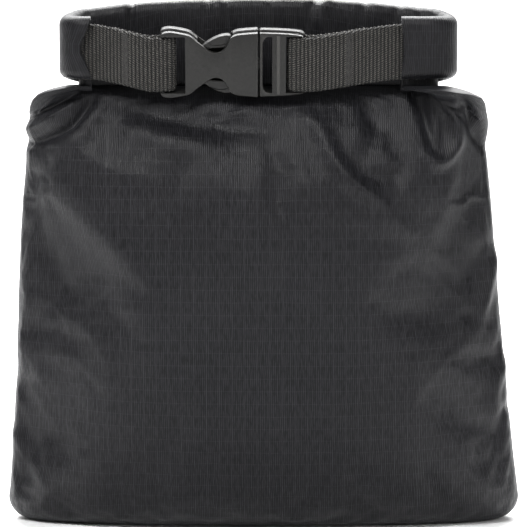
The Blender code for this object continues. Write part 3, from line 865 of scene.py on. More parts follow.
@dataclass
class RolledMouth:
    """The flat roll of cloth with its ends bent round to the front."""

    path: RollPath
    sheet: float = 0.00055
    pitch: float = 0.0010
    core: float = 0.00125
    neck: float = 0.1592
    chevron: float = 0.0034
    creases: tuple[tuple[float, float, float, float], ...] = (
        (-47.4, 0.9, 1.9, 0.05),
        (-52.0, 3.0, -0.5, 0.4),
        (-21.0, 1.2, 1.1, 0.15),
        (-17.5, 1.6, -0.7, 0.2),
        (-12.5, 1.4, 1.0, -0.1),
        (13.0, 1.3, 1.3, 0.9),
        (17.5, 1.6, -0.8, 0.9),
        (24.0, 1.5, 1.0, -0.5),
        (35.0, 1.3, 1.3, 0.25),
        (46.0, 1.6, 1.0, 0.6),
        (57.0, 1.5, 0.9, -0.3),
        (-33.0, 2.0, 0.6, 0.2),
        (4.0, 2.2, 0.6, -0.2),
    )

    def turns(self, low: float, high: float) -> tuple[list[tuple[float, float]], list[float]]:
        """Centre line of the rolled sheet in section, and length along it.

        Args:
            low: height where the lower turns begin.
            high: height where the upper turns begin.

        Returns:
            Points as outward offset and height, and their lengths.
        """
        line = [(self.core, low + 0.001)]
        radius = self.core
        steps = 10
        rise = [0.2, 0.4, 0.6, 0.8]
        for k in range(3):
            bottom = line[-1]
            line += [(radius, bottom[1] + (high - bottom[1]) * t) for t in rise]
            for i in range(steps + 1):
                angle = math.pi * i / steps
                line.append((radius * math.cos(angle), high + radius * math.sin(angle)))
            if k == 2:
                break
            lower = radius + self.pitch / 2
            line += [(-radius, high + (low - high) * t) for t in rise]
            for i in range(steps + 1):
                angle = math.pi * (1 + i / steps)
                line.append((self.pitch / 2 + lower * math.cos(angle), low + lower * math.sin(angle)))
            radius += self.pitch
        end = self.neck - 0.0012
        line += [(-radius, high + (end - high) * t) for t in rise + [0.9, 1.0]]
        length = [0.0]
        for a, b in zip(line, line[1:]):
            length.append(length[-1] + math.hypot(b[0] - a[0], b[1] - a[1]))
        return line, length

    def stations(self) -> np.ndarray:
        """Lengths along the path where the section is drawn, with its share of chevron."""
        p = self.path
        marks = [np.linspace(0, p.flap_left, 4, endpoint=False)]
        marks.append(p.flap_left + np.linspace(0, p.turn, 26, endpoint=False))
        marks.append(p.flap_left + p.turn + np.linspace(0, p.straight, 120, endpoint=False))
        marks.append(p.flap_left + p.turn + p.straight + np.linspace(0, p.turn, 26, endpoint=False))
        marks.append(p.length - p.flap_right + np.linspace(0, p.flap_right, 14))
        return np.concatenate(marks)

    def build(self, cloth: bpy.types.Material) -> bpy.types.Object:
        """Make the roll.

        Args:
            cloth: its material.

        Returns:
            The finished piece.
        """
        p = self.path
        rows, uv = [], []
        stations = self.stations()
        for s in stations:
            under, top = p.levels(s)
            low = under + self.core + 1.5 * self.pitch + 0.000325
            high = top - p.half
            line, length = self.turns(low, high)
            count = len(line)
            row, place = [], []
            for face in (1, -1):
                for i in range(count) if face > 0 else range(count - 1, -1, -1):
                    a, b = line[max(i - 1, 0)], line[min(i + 1, count - 1)]
                    along = math.hypot(b[0] - a[0], b[1] - a[1])
                    off = line[i][0] - face * (b[1] - a[1]) / along * self.sheet / 2 * -1
                    z = line[i][1] + face * (b[0] - a[0]) / along * self.sheet / 2 * -1
                    middle = (low + high) / 2
                    notch = self.chevron * max(1 - abs(z - middle) / (high - middle + 0.002), 0.0)
                    if s < p.flap_left + 0.012:
                        at = s + notch * (1 - s / (p.flap_left + 0.012))
                    elif s > p.length - p.flap_right:
                        at = s - 0.35 * notch * (1 - (p.length - s) / p.flap_right)
                    else:
                        at = s
                    x, y, ox, oy = p.place(at)
                    swell = 1.0 + 0.05 * math.sin(s * 95.0) * (abs(off) > self.core * 1.2)
                    row.append((x + off * swell * ox, y + off * swell * oy, z))
                    place.append((s, length[i]))
            rows.append(row)
            uv.append(place)
        points = np.array(rows).reshape(-1, 3)
        loop = len(rows[0])
        faces = []
        for r in range(len(rows) - 1):
            for i in range(loop):
                j = (i + 1) % loop
                faces.append([r * loop + i, r * loop + j, (r + 1) * loop + j, (r + 1) * loop + i])
        half = loop // 2
        for r, turned in ((0, False), (len(rows) - 1, True)):
            for i in range(half - 1):
                quad = [r * loop + i, r * loop + i + 1, r * loop + loop - 2 - i, r * loop + loop - 1 - i]
                faces.append(quad[::-1] if turned else quad)
        roll = make_piece("rolled_mouth", points, faces, np.array(uv).reshape(-1, 2))
        turn_outward(roll)
        self.crease(roll, points)
        roll.data.materials.append(cloth)
        return roll

    def crease(self, roll: bpy.types.Object, points: np.ndarray) -> None:
        """Press soft creases and small puckers into the roll."""
        x, y, z = points.T
        wave = ripple(points * np.array([1.0, 0.25, 0.30]), 0.0105, 11.3)
        small = ripple(points * np.array([1.0, 0.25, 0.45]), 0.0048, 5.9)
        top = smoothstep(0.176, 0.187, z)
        lift = 0.00055 * wave * top + 0.00022 * small * top
        for at, width, deep, lean in self.creases:
            line = at * MM + (z - 0.183) * lean
            lift -= deep * MM * np.exp(-(((x - line) / (width * MM)) ** 2)) * smoothstep(0.170, 0.183, z)
        shift = np.zeros_like(points)
        shift[:, 2] = lift * 0.3 * smoothstep(0.183, 0.189, z)
        shift[:, 1] = -lift * 0.8 * (y > -0.008)
        moved = points + shift
        roll.data.vertices.foreach_set("co", moved.astype(np.float32).ravel())
        roll.data.update()


# ------------------------------------------------------------------ buckle and straps
@dataclass
class BuckleFrame:
    """Place, size and tilt shared by the buckle's pieces and the straps."""

    x: float = -0.0018
    y: float = -0.0180
    z: float = 0.1684
    tilt: float = math.radians(10.0)
    thick: float = 0.0076
    bar_radius: float = 0.0015
    socket_bar: float = -0.0342
    plug_bar: float = 0.0116
    mouth_half: float = 0.0088

    def tilted(self, x: float, y: float, z: float, share: float = 1.0) -> Point:
        """A point turned about the buckle's long axis, its upper side forward."""
        across, up, angle = y - self.y, z - self.z, self.tilt * share
        turn, hold = math.sin(angle), math.cos(angle)
        return x, self.y + across * hold - up * turn, self.z + across * turn + up * hold


@dataclass
class WebbingStrap:
    """Webbing out of one end of the roll, round a bar and back behind itself."""

    path: RollPath
    buckle: BuckleFrame
    side: Side
    width: float = 0.0196
    thick: float = 0.0014
    root: float = 0.009
    column: float = 0.00138
    root_z: float = 0.1722

    def route(self) -> list[tuple[float, float, float, float]]:
        """Centre line as x, y, height and share of the buckle's tilt."""
        p, b = self.path, self.buckle
        right = self.side is Side.RIGHT
        bar_x = b.plug_bar if right else b.socket_bar
        away = -1.0 if right else 1.0
        tail = 0.0245 if right else 0.0195
        wrap = b.bar_radius + 0.0004 + self.thick / 2
        line = []
        for i in range(12):
            s = self.root * (1 - i / 11)
            x, y, _, _ = p.place(p.length - s if right else s)
            line.append((x, y, self.root_z, 0.0))
        start_x, start_y = line[-1][:2]
        lead = start_x + away * 0.0015
        knee = bar_x - away * 0.006
        front, back = b.y - wrap, b.y + wrap

        def along(x: float, y: float) -> tuple[float, float, float, float]:
            """Add the height and tilt that belong to x."""
            share = min(max((x - lead) / (knee - lead), 0.0), 1.0)
            return x, y, self.root_z + (b.z - self.root_z) * share, share

        for i in range(1, 13):
            share = i / 12
            ease = share * share * (3 - 2 * share)
            bow = -0.0004 * math.sin(math.pi * share)
            line.append(along(lead + (knee - lead) * share, start_y + (front - start_y) * ease + bow))
        for i in range(17):
            angle = -math.pi / 2 + math.pi * i / 16
            line.append(along(bar_x + away * wrap * math.cos(angle), b.y + wrap * math.sin(angle)))
        for i in range(1, 11):
            share = i / 10
            x = bar_x - away * tail * share
            run = float(smoothstep(0.0, 1.0, (x - lead) / (knee - lead)))
            near = start_y + (front - start_y) * run + self.thick + 0.0005
            y = near + (back - near) * max(1 - share * 1.5, 0.0) ** 1.3
            line.append(along(x, y))
        return line

    def build(self, webbing: bpy.types.Material) -> bpy.types.Object:
        """Make the strap with its ribs and looped edges.

        Args:
            webbing: its material.

        Returns:
            The finished piece.
        """
        line = np.array(self.route())
        gap = np.linalg.norm(np.diff(line[:, :2], axis=0), axis=1)
        length = np.concatenate([[0.0], np.cumsum(gap)])
        step = self.column / 6
        stops = np.arange(0.0, length[-1], step)
        fine = np.stack([np.interp(stops, length, line[:, k]) for k in range(4)], axis=1)
        for _ in range(4):
            fine[1:-1, :2] = (fine[:-2, :2] + 2 * fine[1:-1, :2] + fine[2:, :2]) / 4
        along = np.gradient(fine[:, :2], axis=0)
        along /= np.linalg.norm(along, axis=1)[:, None]
        side = np.stack([-along[:, 1], along[:, 0]], axis=1)
        across = 22
        rows, uv = [], []
        for i, (x, y, z, share) in enumerate(fine):
            phase = stops[i] / self.column
            rib = abs(math.sin(math.pi * phase))
            puff = 0.00020 * rib**0.8 - 0.00008
            loops = 0.00028 * rib - 0.00010
            ring, place = [], []
            for k in range(across + 1):
                up = (k / across - 0.5) * 2
                edge = math.copysign(1.0, up) * (self.width / 2 + loops) * abs(up) ** 0.96
                round_off = (1 - abs(up) ** 10) ** 0.5 if abs(up) < 1 else 0.0
                ring.append((edge, (self.thick / 2 + puff) * round_off, k / across * self.width))
            loop = [(e, t, v) for e, t, v in ring] + [(e, -t, v) for e, t, v in ring[-2:0:-1]]
            for edge, off, v in loop:
                px, py = x + side[i, 0] * off, y + side[i, 1] * off
                rows.append(self.buckle.tilted(px, py, z + edge, share))
                place.append((stops[i], v))
            uv += place
        loop_count = 2 * across
        faces = []
        for r in range(len(fine) - 1):
            for i in range(loop_count):
                j = (i + 1) % loop_count
                a, b = r * loop_count, (r + 1) * loop_count
                faces.append([a + i, a + j, b + j, b + i])
        for r, turned in ((0, False), (len(fine) - 1, True)):
            for i in range(across):
                a = r * loop_count
                quad = [a + i, a + i + 1, a + (loop_count - i - 1) % loop_count, a + (loop_count - i) % loop_count]
                quad = list(dict.fromkeys(quad))
                faces.append(quad[::-1] if turned else quad)
        strap = make_piece(f"webbing_{self.side.name.lower()}", np.array(rows), faces, np.array(uv))
        turn_outward(strap)
        strap.data.materials.append(webbing)
        return strap


@dataclass
class BarTack:
    """A dense zigzag of thread across a strap, made by a node tree."""

    strap: WebbingStrap
    distance: float
    passes: int = 30
    thread: float = 0.00019

    def centre_line(self) -> list[Point]:
        """Zigzag points a hair above the strap's front face."""
        line = np.array(self.strap.route())
        gap = np.linalg.norm(np.diff(line[:, :2], axis=0), axis=1)
        length = np.concatenate([[0.0], np.cumsum(gap)])
        points = []
        half = self.strap.width / 2 - 0.0008
        for i in range(self.passes * 2 + 1):
            up = -half + 2 * half * i / (self.passes * 2)
            at = self.distance + (0.00115 if i % 2 else -0.00115)
            x, y, z, share = (float(np.interp(at, length, line[:, k])) for k in range(4))
            arch = self.strap.thick / 2 + 0.00012
            points.append(self.strap.buckle.tilted(x, y - arch, z + up, share))
        return points

    def build(self, thread: bpy.types.Material) -> bpy.types.Object:
        """Run the node tree and keep its result as plain mesh.

        Args:
            thread: the material.

        Returns:
            The finished piece.
        """
        name = f"bar_tack_{self.strap.side.name.lower()}"
        points = self.centre_line()
        edges = [[i, i + 1] for i in range(len(points) - 1)]
        mesh = bpy.data.meshes.new(name)
        mesh.from_pydata(points, edges, [])
        seed = bpy.data.objects.new(name, mesh)
        bpy.context.scene.collection.objects.link(seed)
        tree = thread_tree(thread)
        step = seed.modifiers.new("thread", "NODES")
        step.node_group = tree
        for item in tree.interface.items_tree:
            if item.name == "Thread Radius":
                step[item.identifier] = self.thread
            if item.name == "Stitch Length":
                step[item.identifier] = 0.0011
        graph = bpy.context.evaluated_depsgraph_get()
        result = bpy.data.meshes.new_from_object(seed.evaluated_get(graph))
        seed.modifiers.clear()
        seed.data = result
        result.shade_smooth()
        return seed


def thread_tree(material: bpy.types.Material) -> bpy.types.NodeTree:
    """A node tree that lays plump stitches along a line of edges.

    Args:
        material: the thread's material.

    Returns:
        The tree, with Thread Radius and Stitch Length as inputs.
    """
    known = bpy.data.node_groups.get("thread_along_line")
    if known:
        return known
    tree = bpy.data.node_groups.new("thread_along_line", "GeometryNodeTree")
    face = tree.interface
    face.new_socket("Geometry", in_out="INPUT", socket_type="NodeSocketGeometry")
    face.new_socket("Thread Radius", in_out="INPUT", socket_type="NodeSocketFloat")
    face.new_socket("Stitch Length", in_out="INPUT", socket_type="NodeSocketFloat")
    face.new_socket("Geometry", in_out="OUTPUT", socket_type="NodeSocketGeometry")
    node = tree.nodes.new
    start, end = node("NodeGroupInput"), node("NodeGroupOutput")
    curve = node("GeometryNodeMeshToCurve")
    spaced = node("GeometryNodeResampleCurve")
    spaced.mode = "LENGTH"
    stitch = node("GeometryNodeMeshIcoSphere")
    stitch.inputs["Subdivisions"].default_value = 2
    shape = node("GeometryNodeTransform")
    size = node("ShaderNodeCombineXYZ")
    half = node("ShaderNodeMath")
    half.operation = "MULTIPLY"
    half.inputs[1].default_value = 0.62
    turn = node("FunctionNodeAlignRotationToVector")
    turn.axis = "X"
    tangent = node("GeometryNodeInputTangent")
    place = node("GeometryNodeInstanceOnPoints")
    real = node("GeometryNodeRealizeInstances")
    paint = node("GeometryNodeSetMaterial")
    paint.inputs["Material"].default_value = material
    link = tree.links.new
    link(start.outputs["Geometry"], curve.inputs[0])
    link(curve.outputs[0], spaced.inputs["Curve"])
    link(start.outputs["Stitch Length"], spaced.inputs["Length"])
    link(spaced.outputs[0], place.inputs["Points"])
    link(start.outputs["Stitch Length"], half.inputs[0])
    link(half.outputs[0], size.inputs[0])
    link(start.outputs["Thread Radius"], size.inputs[1])
    link(start.outputs["Thread Radius"], size.inputs[2])
    stitch.inputs["Radius"].default_value = 1.0
    link(stitch.outputs["Mesh"], shape.inputs["Geometry"])
    link(size.outputs[0], shape.inputs["Scale"])
    link(shape.outputs[0], place.inputs["Instance"])
    link(tangent.outputs[0], turn.inputs["Vector"])
    link(turn.outputs[0], place.inputs["Rotation"])
    link(place.outputs[0], real.inputs[0])
    link(real.outputs[0], paint.inputs["Geometry"])
    link(paint.outputs[0], end.inputs[0])
    return tree


@dataclass
class SideReleaseBuckle:
    """Socket, plug and two springy arms, moulded with rounded edges."""

    f: BuckleFrame
    plastic: bpy.types.Material
    rail: float = 0.0127
    length: float = 0.0349
    step: float = 0.0008
    front_share: float = 0.55

    def outline_plate(self, name: str, outline: Line, thick: float, y: float = 0.0) -> bpy.types.Object:
        """An outline in the upright plane, made thick.

        Args:
            name: the piece's name.
            outline: x and distance up from the buckle's middle.
            thick: thickness.
            y: middle of the plate, from the buckle's middle.

        Returns:
            The plate.
        """
        count = len(outline)
        points = [(x, self.f.y + y - thick / 2, self.f.z + h) for x, h in outline]
        points += [(x, self.f.y + y + thick / 2, self.f.z + h) for x, h in outline]
        faces = [list(range(count)), list(range(count, 2 * count))[::-1]]
        faces += [[i, i + count, (i + 1) % count + count, (i + 1) % count] for i in range(count)]
        plate = make_piece(name, np.array(points), faces)
        turn_outward(plate)
        return plate

    def smooth_outline(self, upper: Line, steps: int = 5) -> Line:
        """A rounded line through given points, mirrored below."""
        fine = []
        count = len(upper)
        for i in range(count - 1):
            p0, p1, p2, p3 = (np.array(upper[min(max(k, 0), count - 1)]) for k in (i - 1, i, i + 1, i + 2))
            for k in range(steps):
                t = k / steps
                fine.append(tuple(0.5 * (2 * p1 + (p2 - p0) * t + (2 * p0 - 5 * p1 + 4 * p2 - p3) * t**2 + (3 * p1 - p0 - 3 * p2 + p3) * t**3)))
        fine.append(tuple(upper[-1]))
        return fine + [(x, -h) for x, h in fine[::-1]]

    def rounded(self, piece: bpy.types.Object, width: float, segments: int = 4, angle: float = 40.0) -> None:
        """Round the piece's edges."""
        step = piece.modifiers.new("round", "BEVEL")
        step.width = width
        step.segments = segments
        step.limit_method = "ANGLE"
        step.angle_limit = math.radians(angle)
        finish_modifiers(piece)

    def two_tier(self, name: str, outline: Line, thick: float, edge: float) -> bpy.types.Object:
        """A moulding whose rear half stands proud of its front face's edge.

        Args:
            name: the piece's name.
            outline: x and distance up from the buckle's middle.
            thick: full thickness.
            edge: how far the rear half's edges are rounded.

        Returns:
            The joined moulding.
        """
        split = -thick / 2 + self.front_share * thick
        ends = [x for x, _ in outline]
        middle, span = (min(ends) + max(ends)) / 2, (max(ends) - min(ends)) / 2
        low = [(middle + (x - middle) * (1 - 0.00017 / span), h - math.copysign(self.step, h)) for x, h in outline]
        front = self.outline_plate(name, low, split + thick / 2, (split - thick / 2) / 2)
        self.rounded(front, 0.00032, 3)
        rear = self.outline_plate("rear", outline, thick / 2 - split + 0.0012, (split + thick / 2 - 0.0012) / 2)
        self.rounded(rear, edge, 5)
        self.combine(front, rear, "UNION")
        return front

    def box(self, x: tuple[float, float], y: tuple[float, float], h: tuple[float, float]) -> bpy.types.Object:
        """A cutter from ranges of x, y and height about the buckle's middle."""
        outline = [(x[0], h[0]), (x[1], h[0]), (x[1], h[1]), (x[0], h[1])]
        return self.outline_plate("cutter", outline, y[1] - y[0], (y[0] + y[1]) / 2)

    def bar(self, x: float, half: float, radius: float, y: float = 0.0) -> bpy.types.Object:
        """An upright round bar."""
        points, count = [], 28
        for h in (-half, half):
            for i in range(count):
                angle = 2 * math.pi * i / count
                points.append((x + radius * math.cos(angle), self.f.y + y + radius * math.sin(angle), self.f.z + h))
        faces = [list(range(count))[::-1], list(range(count, 2 * count))]
        faces += [[i, (i + 1) % count, (i + 1) % count + count, i + count] for i in range(count)]
        made = make_piece("bar", np.array(points), faces)
        turn_outward(made)
        return made

    def combine(self, piece: bpy.types.Object, other: bpy.types.Object, operation: str) -> None:
        """Cut or join, and drop the helper."""
        step = piece.modifiers.new("combine", "BOOLEAN")
        step.operation = operation
        step.solver = "EXACT"
        step.object = other
        finish_modifiers(piece)
        bpy.data.objects.remove(other, do_unlink=True)

    def settle(self, piece: bpy.types.Object) -> bpy.types.Object:
        """Tilt a finished piece, soften its shading and dress it."""
        build = bmesh.new()
        build.from_mesh(piece.data)
        bmesh.ops.remove_doubles(build, verts=build.verts, dist=0.000004)
        bmesh.ops.recalc_face_normals(build, faces=build.faces)
        build.to_mesh(piece.data)
        build.free()
        for vertex in piece.data.vertices:
            vertex.co = self.f.tilted(*vertex.co)
        piece.data.materials.clear()
        piece.data.materials.append(self.plastic)
        for polygon in piece.data.polygons:
            polygon.material_index = 0
        piece.data.shade_smooth()
        piece.data.set_sharp_from_angle(angle=math.radians(35))
        return piece

    def socket(self) -> bpy.types.Object:
        """The scooped socket with its rails and strap bar."""
        left, mouth = self.f.x - self.length, self.f.x
        slot = left + 0.0091
        scoop = mouth - 0.0091 - slot
        r = self.rail
        upper = [
            (left, r - 0.0030),
            (left + 0.0003, r - 0.0012),
            (left + 0.0014, r - 0.0003),
            (left + 0.0038, r),
            (left + 0.0066, r - 0.0004),
            (slot + scoop * 0.08, r - 0.0013),
            (slot + scoop * 0.22, r - 0.0031),
            (slot + scoop * 0.38, r - 0.0051),
            (slot + scoop * 0.53, r - 0.0068),
            (slot + scoop * 0.67, r - 0.0073),
            (slot + scoop * 0.80, r - 0.0064),
            (slot + scoop * 0.90, r - 0.0042),
            (slot + scoop * 0.955, r - 0.0022),
            (slot + scoop + 0.0010, r - 0.0012),
            (slot + scoop + 0.0030, r - 0.0008),
            (mouth, r - 0.0003),
        ]
        piece = self.two_tier("buckle_socket_shell", self.smooth_outline(upper), self.f.thick, 0.0011)
        window = 0.0102
        cut = self.box((left - 0.002, slot), (-0.01, 0.01), (-window, window))
        self.combine(piece, cut, "DIFFERENCE")
        self.combine(piece, self.bar(self.f.socket_bar, window + 0.0008, self.f.bar_radius), "UNION")
        inner = self.f.mouth_half
        start = slot + 0.0042
        self.combine(piece, self.box((start, mouth + 0.002), (-0.0023, 0.0023), (-inner, inner)), "DIFFERENCE")
        sides = self.box((start, mouth - 0.0091), (-0.0023, 0.0023), (-0.03, 0.03))
        self.combine(piece, sides, "DIFFERENCE")
        step = piece.modifiers.new("soft", "BEVEL")
        step.width = 0.00022
        step.segments = 2
        step.limit_method = "ANGLE"
        step.angle_limit = math.radians(60)
        finish_modifiers(piece)
        return self.settle(piece)

    def plug(self) -> bpy.types.Object:
        """The plug's frame, bars and guide."""
        start, r = self.f.x + 0.0003, self.rail
        end = start + 0.0164
        upper = [
            (start, r - 0.0004),
            (start + 0.0040, r - 0.0005),
            (start + 0.0090, r - 0.0007),
            (end - 0.0030, r - 0.0011),
            (end - 0.0012, r - 0.0015),
            (end - 0.0003, r - 0.0022),
            (end, r - 0.0032),
        ]
        piece = self.two_tier("buckle_plug_frame", self.smooth_outline(upper, 3), self.f.thick - 0.0012, 0.0008)
        window = 0.0102
        hole = []
        x0, x1, c = start + 0.0011, start + 0.0046, 0.0022
        hole += [(x0 + c * (1 - math.cos(a)), -window + c * 1.4 * (1 - math.sin(a))) for a in np.linspace(0, math.pi / 2, 8)]
        hole += [(x1, -window), (x1, window)]
        hole += [(x0 + c * (1 - math.sin(a)), window - c * 1.4 * (1 - math.cos(a))) for a in np.linspace(0, math.pi / 2, 8)]
        self.combine(piece, self.outline_plate("cutter", hole, 0.02), "DIFFERENCE")
        opening = self.f.plug_bar - 0.0037
        self.combine(piece, self.box((opening, end + 0.002), (-0.01, 0.01), (-window, window)), "DIFFERENCE")
        self.combine(piece, self.bar(self.f.plug_bar, window + 0.0008, self.f.bar_radius), "UNION")
        ridge = self.bar(start + 0.0068, window + 0.0004, 0.00075, -self.f.thick / 2 + 0.00105)
        self.combine(piece, ridge, "UNION")
        tip = self.f.x - self.length + 0.0091 + 0.0042 + 0.0024
        guide = [(tip, 0.0009), (tip + 0.0015, 0.0016), (start + 0.0005, 0.0016)]
        self.combine(piece, self.outline_plate("guide", guide + [(x, -h) for x, h in guide[::-1]], 0.0030), "UNION")
        step = piece.modifiers.new("soft", "BEVEL")
        step.width = 0.00020
        step.segments = 2
        step.limit_method = "ANGLE"
        step.angle_limit = math.radians(60)
        finish_modifiers(piece)
        return self.settle(piece)

    def arm(self, name: str, sign: int) -> bpy.types.Object:
        """One release arm: a thin stem, then a finger pad with a barb."""
        root, inner = self.f.x - 0.0001, self.f.mouth_half
        barb = self.f.x - 0.0091 - 0.0004
        pad = barb - (self.f.x - self.length + 0.0133) - 0.0009
        profile = [
            (root, inner - 0.0026),
            (root, inner - 0.0004),
            (barb + 0.0004, inner - 0.0004),
            (barb, inner + 0.0002),
            (barb - 0.0001, inner + 0.0012),
            (barb - pad * 0.07, inner + 0.0017),
            (barb - pad * 0.22, inner + 0.0017),
            (barb - pad * 0.38, inner + 0.0013),
            (barb - pad * 0.55, inner + 0.0005),
            (barb - pad * 0.72, inner - 0.0006),
            (barb - pad * 0.87, inner - 0.0018),
            (barb - pad, inner - 0.0032),
            (barb - pad * 0.95, inner - 0.0037),
            (barb - pad * 0.54, inner - 0.0030),
        ]
        piece = self.outline_plate(name, [(x, sign * h) for x, h in profile], 0.0040)
        self.rounded(piece, 0.00045, 3, 30.0)
        middle = (barb - pad * 0.40, inner - 0.0008)
        oval = []
        for a in np.linspace(0, 2 * math.pi, 28, endpoint=False):
            along, up = pad * 0.30 * math.cos(a), 0.0013 * math.sin(a)
            oval.append((middle[0] + along, sign * (middle[1] + up + along * 0.10)))
        self.combine(piece, self.outline_plate("dish", oval, 0.0010, -0.0020), "DIFFERENCE")
        return self.settle(piece)


# ------------------------------------------------------------------ studio
@dataclass
class Studio:
    """Pale floor, soft lights and the camera."""

    lens: float = 200.0
    pitch: float = 8.0
    reach: float = 1.0645
    target: Point = (0.0, 0.0, 0.0942)

    def area(self, name: str, place: Point, size: tuple[float, float], power: float, aim: Point, colour: Point = (1, 1, 1)) -> None:
        """One soft box light.

        Args:
            name: its name.
            place: where it is.
            size: its width and height.
            power: watts.
            aim: the point it looks at.
            colour: its colour.
        """
        data = bpy.data.lights.new(name, "AREA")
        data.shape = "RECTANGLE"
        data.size, data.size_y = size
        data.energy = power
        data.color = colour
        lamp = bpy.data.objects.new(name, data)
        lamp.location = place
        lamp.rotation_euler = (Vector(aim) - Vector(place)).to_track_quat("-Z", "Y").to_euler()
        bpy.context.scene.collection.objects.link(lamp)

    def build(self) -> None:
        """Make the floor, world, lights and camera."""
        size, radius, back = 4.5, 0.6, 2.6
        line = [(-4.5, 0.0), (-1.5, 0.0)]
        line += [(back + radius * math.sin(a), radius * (1 - math.cos(a))) for a in np.linspace(0, math.pi / 2, 16)]
        line.append((back + radius, 3.0))
        points, faces = [], []
        for x in (-size, size):
            points += [(x, y, z - 0.0002) for y, z in line]
        count = len(line)
        faces = [[i, i + count, i + count + 1, i + 1] for i in range(count - 1)]
        floor = make_piece("studio_floor", np.array(points), faces)
        s = Shader("studio_paper")
        s.feed(s.shader.inputs["Base Color"], s.mix(s.noise(s.node("TexCoord").outputs["Object"], 3.0), (0.93, 0.93, 0.93, 1), (0.95, 0.95, 0.95, 1)))
        s.shader.inputs["Roughness"].default_value = 0.9
        floor.data.materials.append(s.material)
        world = bpy.data.worlds.new("studio_world")
        world.use_nodes = True
        nodes, links = world.node_tree.nodes, world.node_tree.links
        seen, glow = nodes.new("ShaderNodeLightPath"), nodes.new("ShaderNodeMapRange")
        glow.inputs[3].default_value, glow.inputs[4].default_value = 0.20, 1.0
        links.new(seen.outputs["Is Camera Ray"], glow.inputs[0])
        links.new(glow.outputs[0], nodes["Background"].inputs[1])
        nodes["Background"].inputs[0].default_value = (1.0, 1.0, 1.0, 1.0)
        self.area("backdrop_light", (0, 1.3, 2.2), (3.0, 1.0), 160.0, (0, 3.2, 0.3))
        bpy.context.scene.world = world
        bpy.context.scene.view_settings.view_transform = "Standard"
        self.area("key_left", (-0.50, -0.80, 1.20), (0.5, 0.5), 20.0, (0, 0, 0.09))
        self.area("fill_right", (0.70, -1.0, 0.70), (0.35, 0.6), 4.5, (0, 0, 0.09))
        self.area("top_back", (0.0, 0.45, 0.70), (0.9, 0.30), 16.0, (0, 0, 0.17))
        data = bpy.data.cameras.new("camera")
        data.lens = self.lens
        data.sensor_width = 36.0
        camera = bpy.data.objects.new("camera", data)
        angle = math.radians(self.pitch)
        aim = Vector(self.target)
        camera.location = aim + self.reach * Vector((0, -math.cos(angle), math.sin(angle)))
        camera.rotation_euler = (aim - camera.location).to_track_quat("-Z", "Y").to_euler()
        bpy.context.scene.collection.objects.link(camera)
        bpy.context.scene.camera = camera


def front_folds() -> list[Fold]:
    """Folds of the front cloth."""
    return [
        # left shoulder: the seam's line, one rounded roll of cloth and the deep groove under it
        Fold(((-62, 160), (-72.5, 153.7), (-83.5, 148.4), (-86, 146)), -1.5, 0.8),
        Fold(((-63, 157), (-70, 151.5), (-78, 147), (-85, 143.2)), 1.9, 1.7),
        Fold(((-60, 157), (-65.3, 149.5), (-72.2, 144), (-82, 139.2), (-86, 139)), -3.2, 1.7),
        Fold(((-58, 152), (-66, 142), (-76, 136)), 1.0, 3.0),
        # left side: a long dent beside the seam, and the round of the filled cloth
        Fold(((-85, 130), (-80, 106), (-74.5, 93), (-74, 86), (-85, 72)), -1.9, 4.0),
        Fold(((-72, 128), (-58, 109), (-49, 95), (-43, 70)), 1.5, 7.0),
        Fold(((-27, 136), (-33, 122), (-42, 112)), -1.3, 4.0),
        # hollow under the buckle
        Fold(((-52, 157), (-39.5, 151), (-25.6, 148), (-3, 146), (6, 148)), -3.0, 5.0),
        Fold(((-56, 150), (-46, 144), (-30, 141), (-12, 139)), 1.0, 5.0),
        # middle
        Fold(((3.5, 145), (4.5, 122.7), (10, 108.3), (6, 80)), -1.3, 3.5),
        Fold(((12, 150), (14, 130), (19, 110)), 0.9, 4.5),
        # right of the buckle: a hanging loop of cloth and slanting ridges
        Fold(((33, 160), (38.8, 148.4), (39.2, 142.9), (35, 137)), -2.0, 3.4),
        Fold(((16, 151), (20.9, 143.2), (24.2, 137), (31, 127.8), (40.2, 120), (52, 108)), 2.1, 3.2),
        Fold(((26, 143), (31, 135), (38, 130), (50, 129.5)), -1.8, 3.6),
        Fold(((25, 125), (35, 119.4), (45, 116)), -1.2, 2.6),
        Fold(((22, 112), (34, 107), (48, 105)), -0.8, 4.0),
        # right shoulder: gathers that hang below the flap
        Fold(((53, 160), (56.5, 151.3), (58.4, 145.4), (60.5, 138)), -2.6, 2.0),
        Fold(((61, 158), (68.0, 149), (69.3, 141), (66.4, 135), (62, 133), (58, 136)), 2.0, 2.1),
        Fold(((64, 150), (64.5, 143), (63, 138)), -1.6, 2.4),
        Fold(((68, 160), (72.2, 151.3), (75.8, 142), (79.0, 137)), -2.4, 2.0),
        Fold(((74, 156), (79, 147), (82, 138)), 1.3, 2.2),
        # right side
        Fold(((84.5, 99), (81, 86), (78, 72)), 1.4, 2.0),
        Fold(((80, 104), (76, 90), (74, 74)), -1.0, 2.6),
        Fold(((90, 62), (84, 50), (85, 36)), 0.9, 2.5),
        Fold(((92, 46), (86, 38), (86, 26)), -0.9, 2.2),
        Fold(((60, 110), (64, 88), (66, 60)), -1.0, 9.0),
        Fold(((-93, 60), (-85, 44), (-85, 22)), -1.1, 3.5),
        Fold(((-92, 34), (-86, 24), (-80, 16)), 0.9, 2.4),
        Fold(((30, 60), (8, 44), (-20, 40)), 0.7, 9.0),
    ]


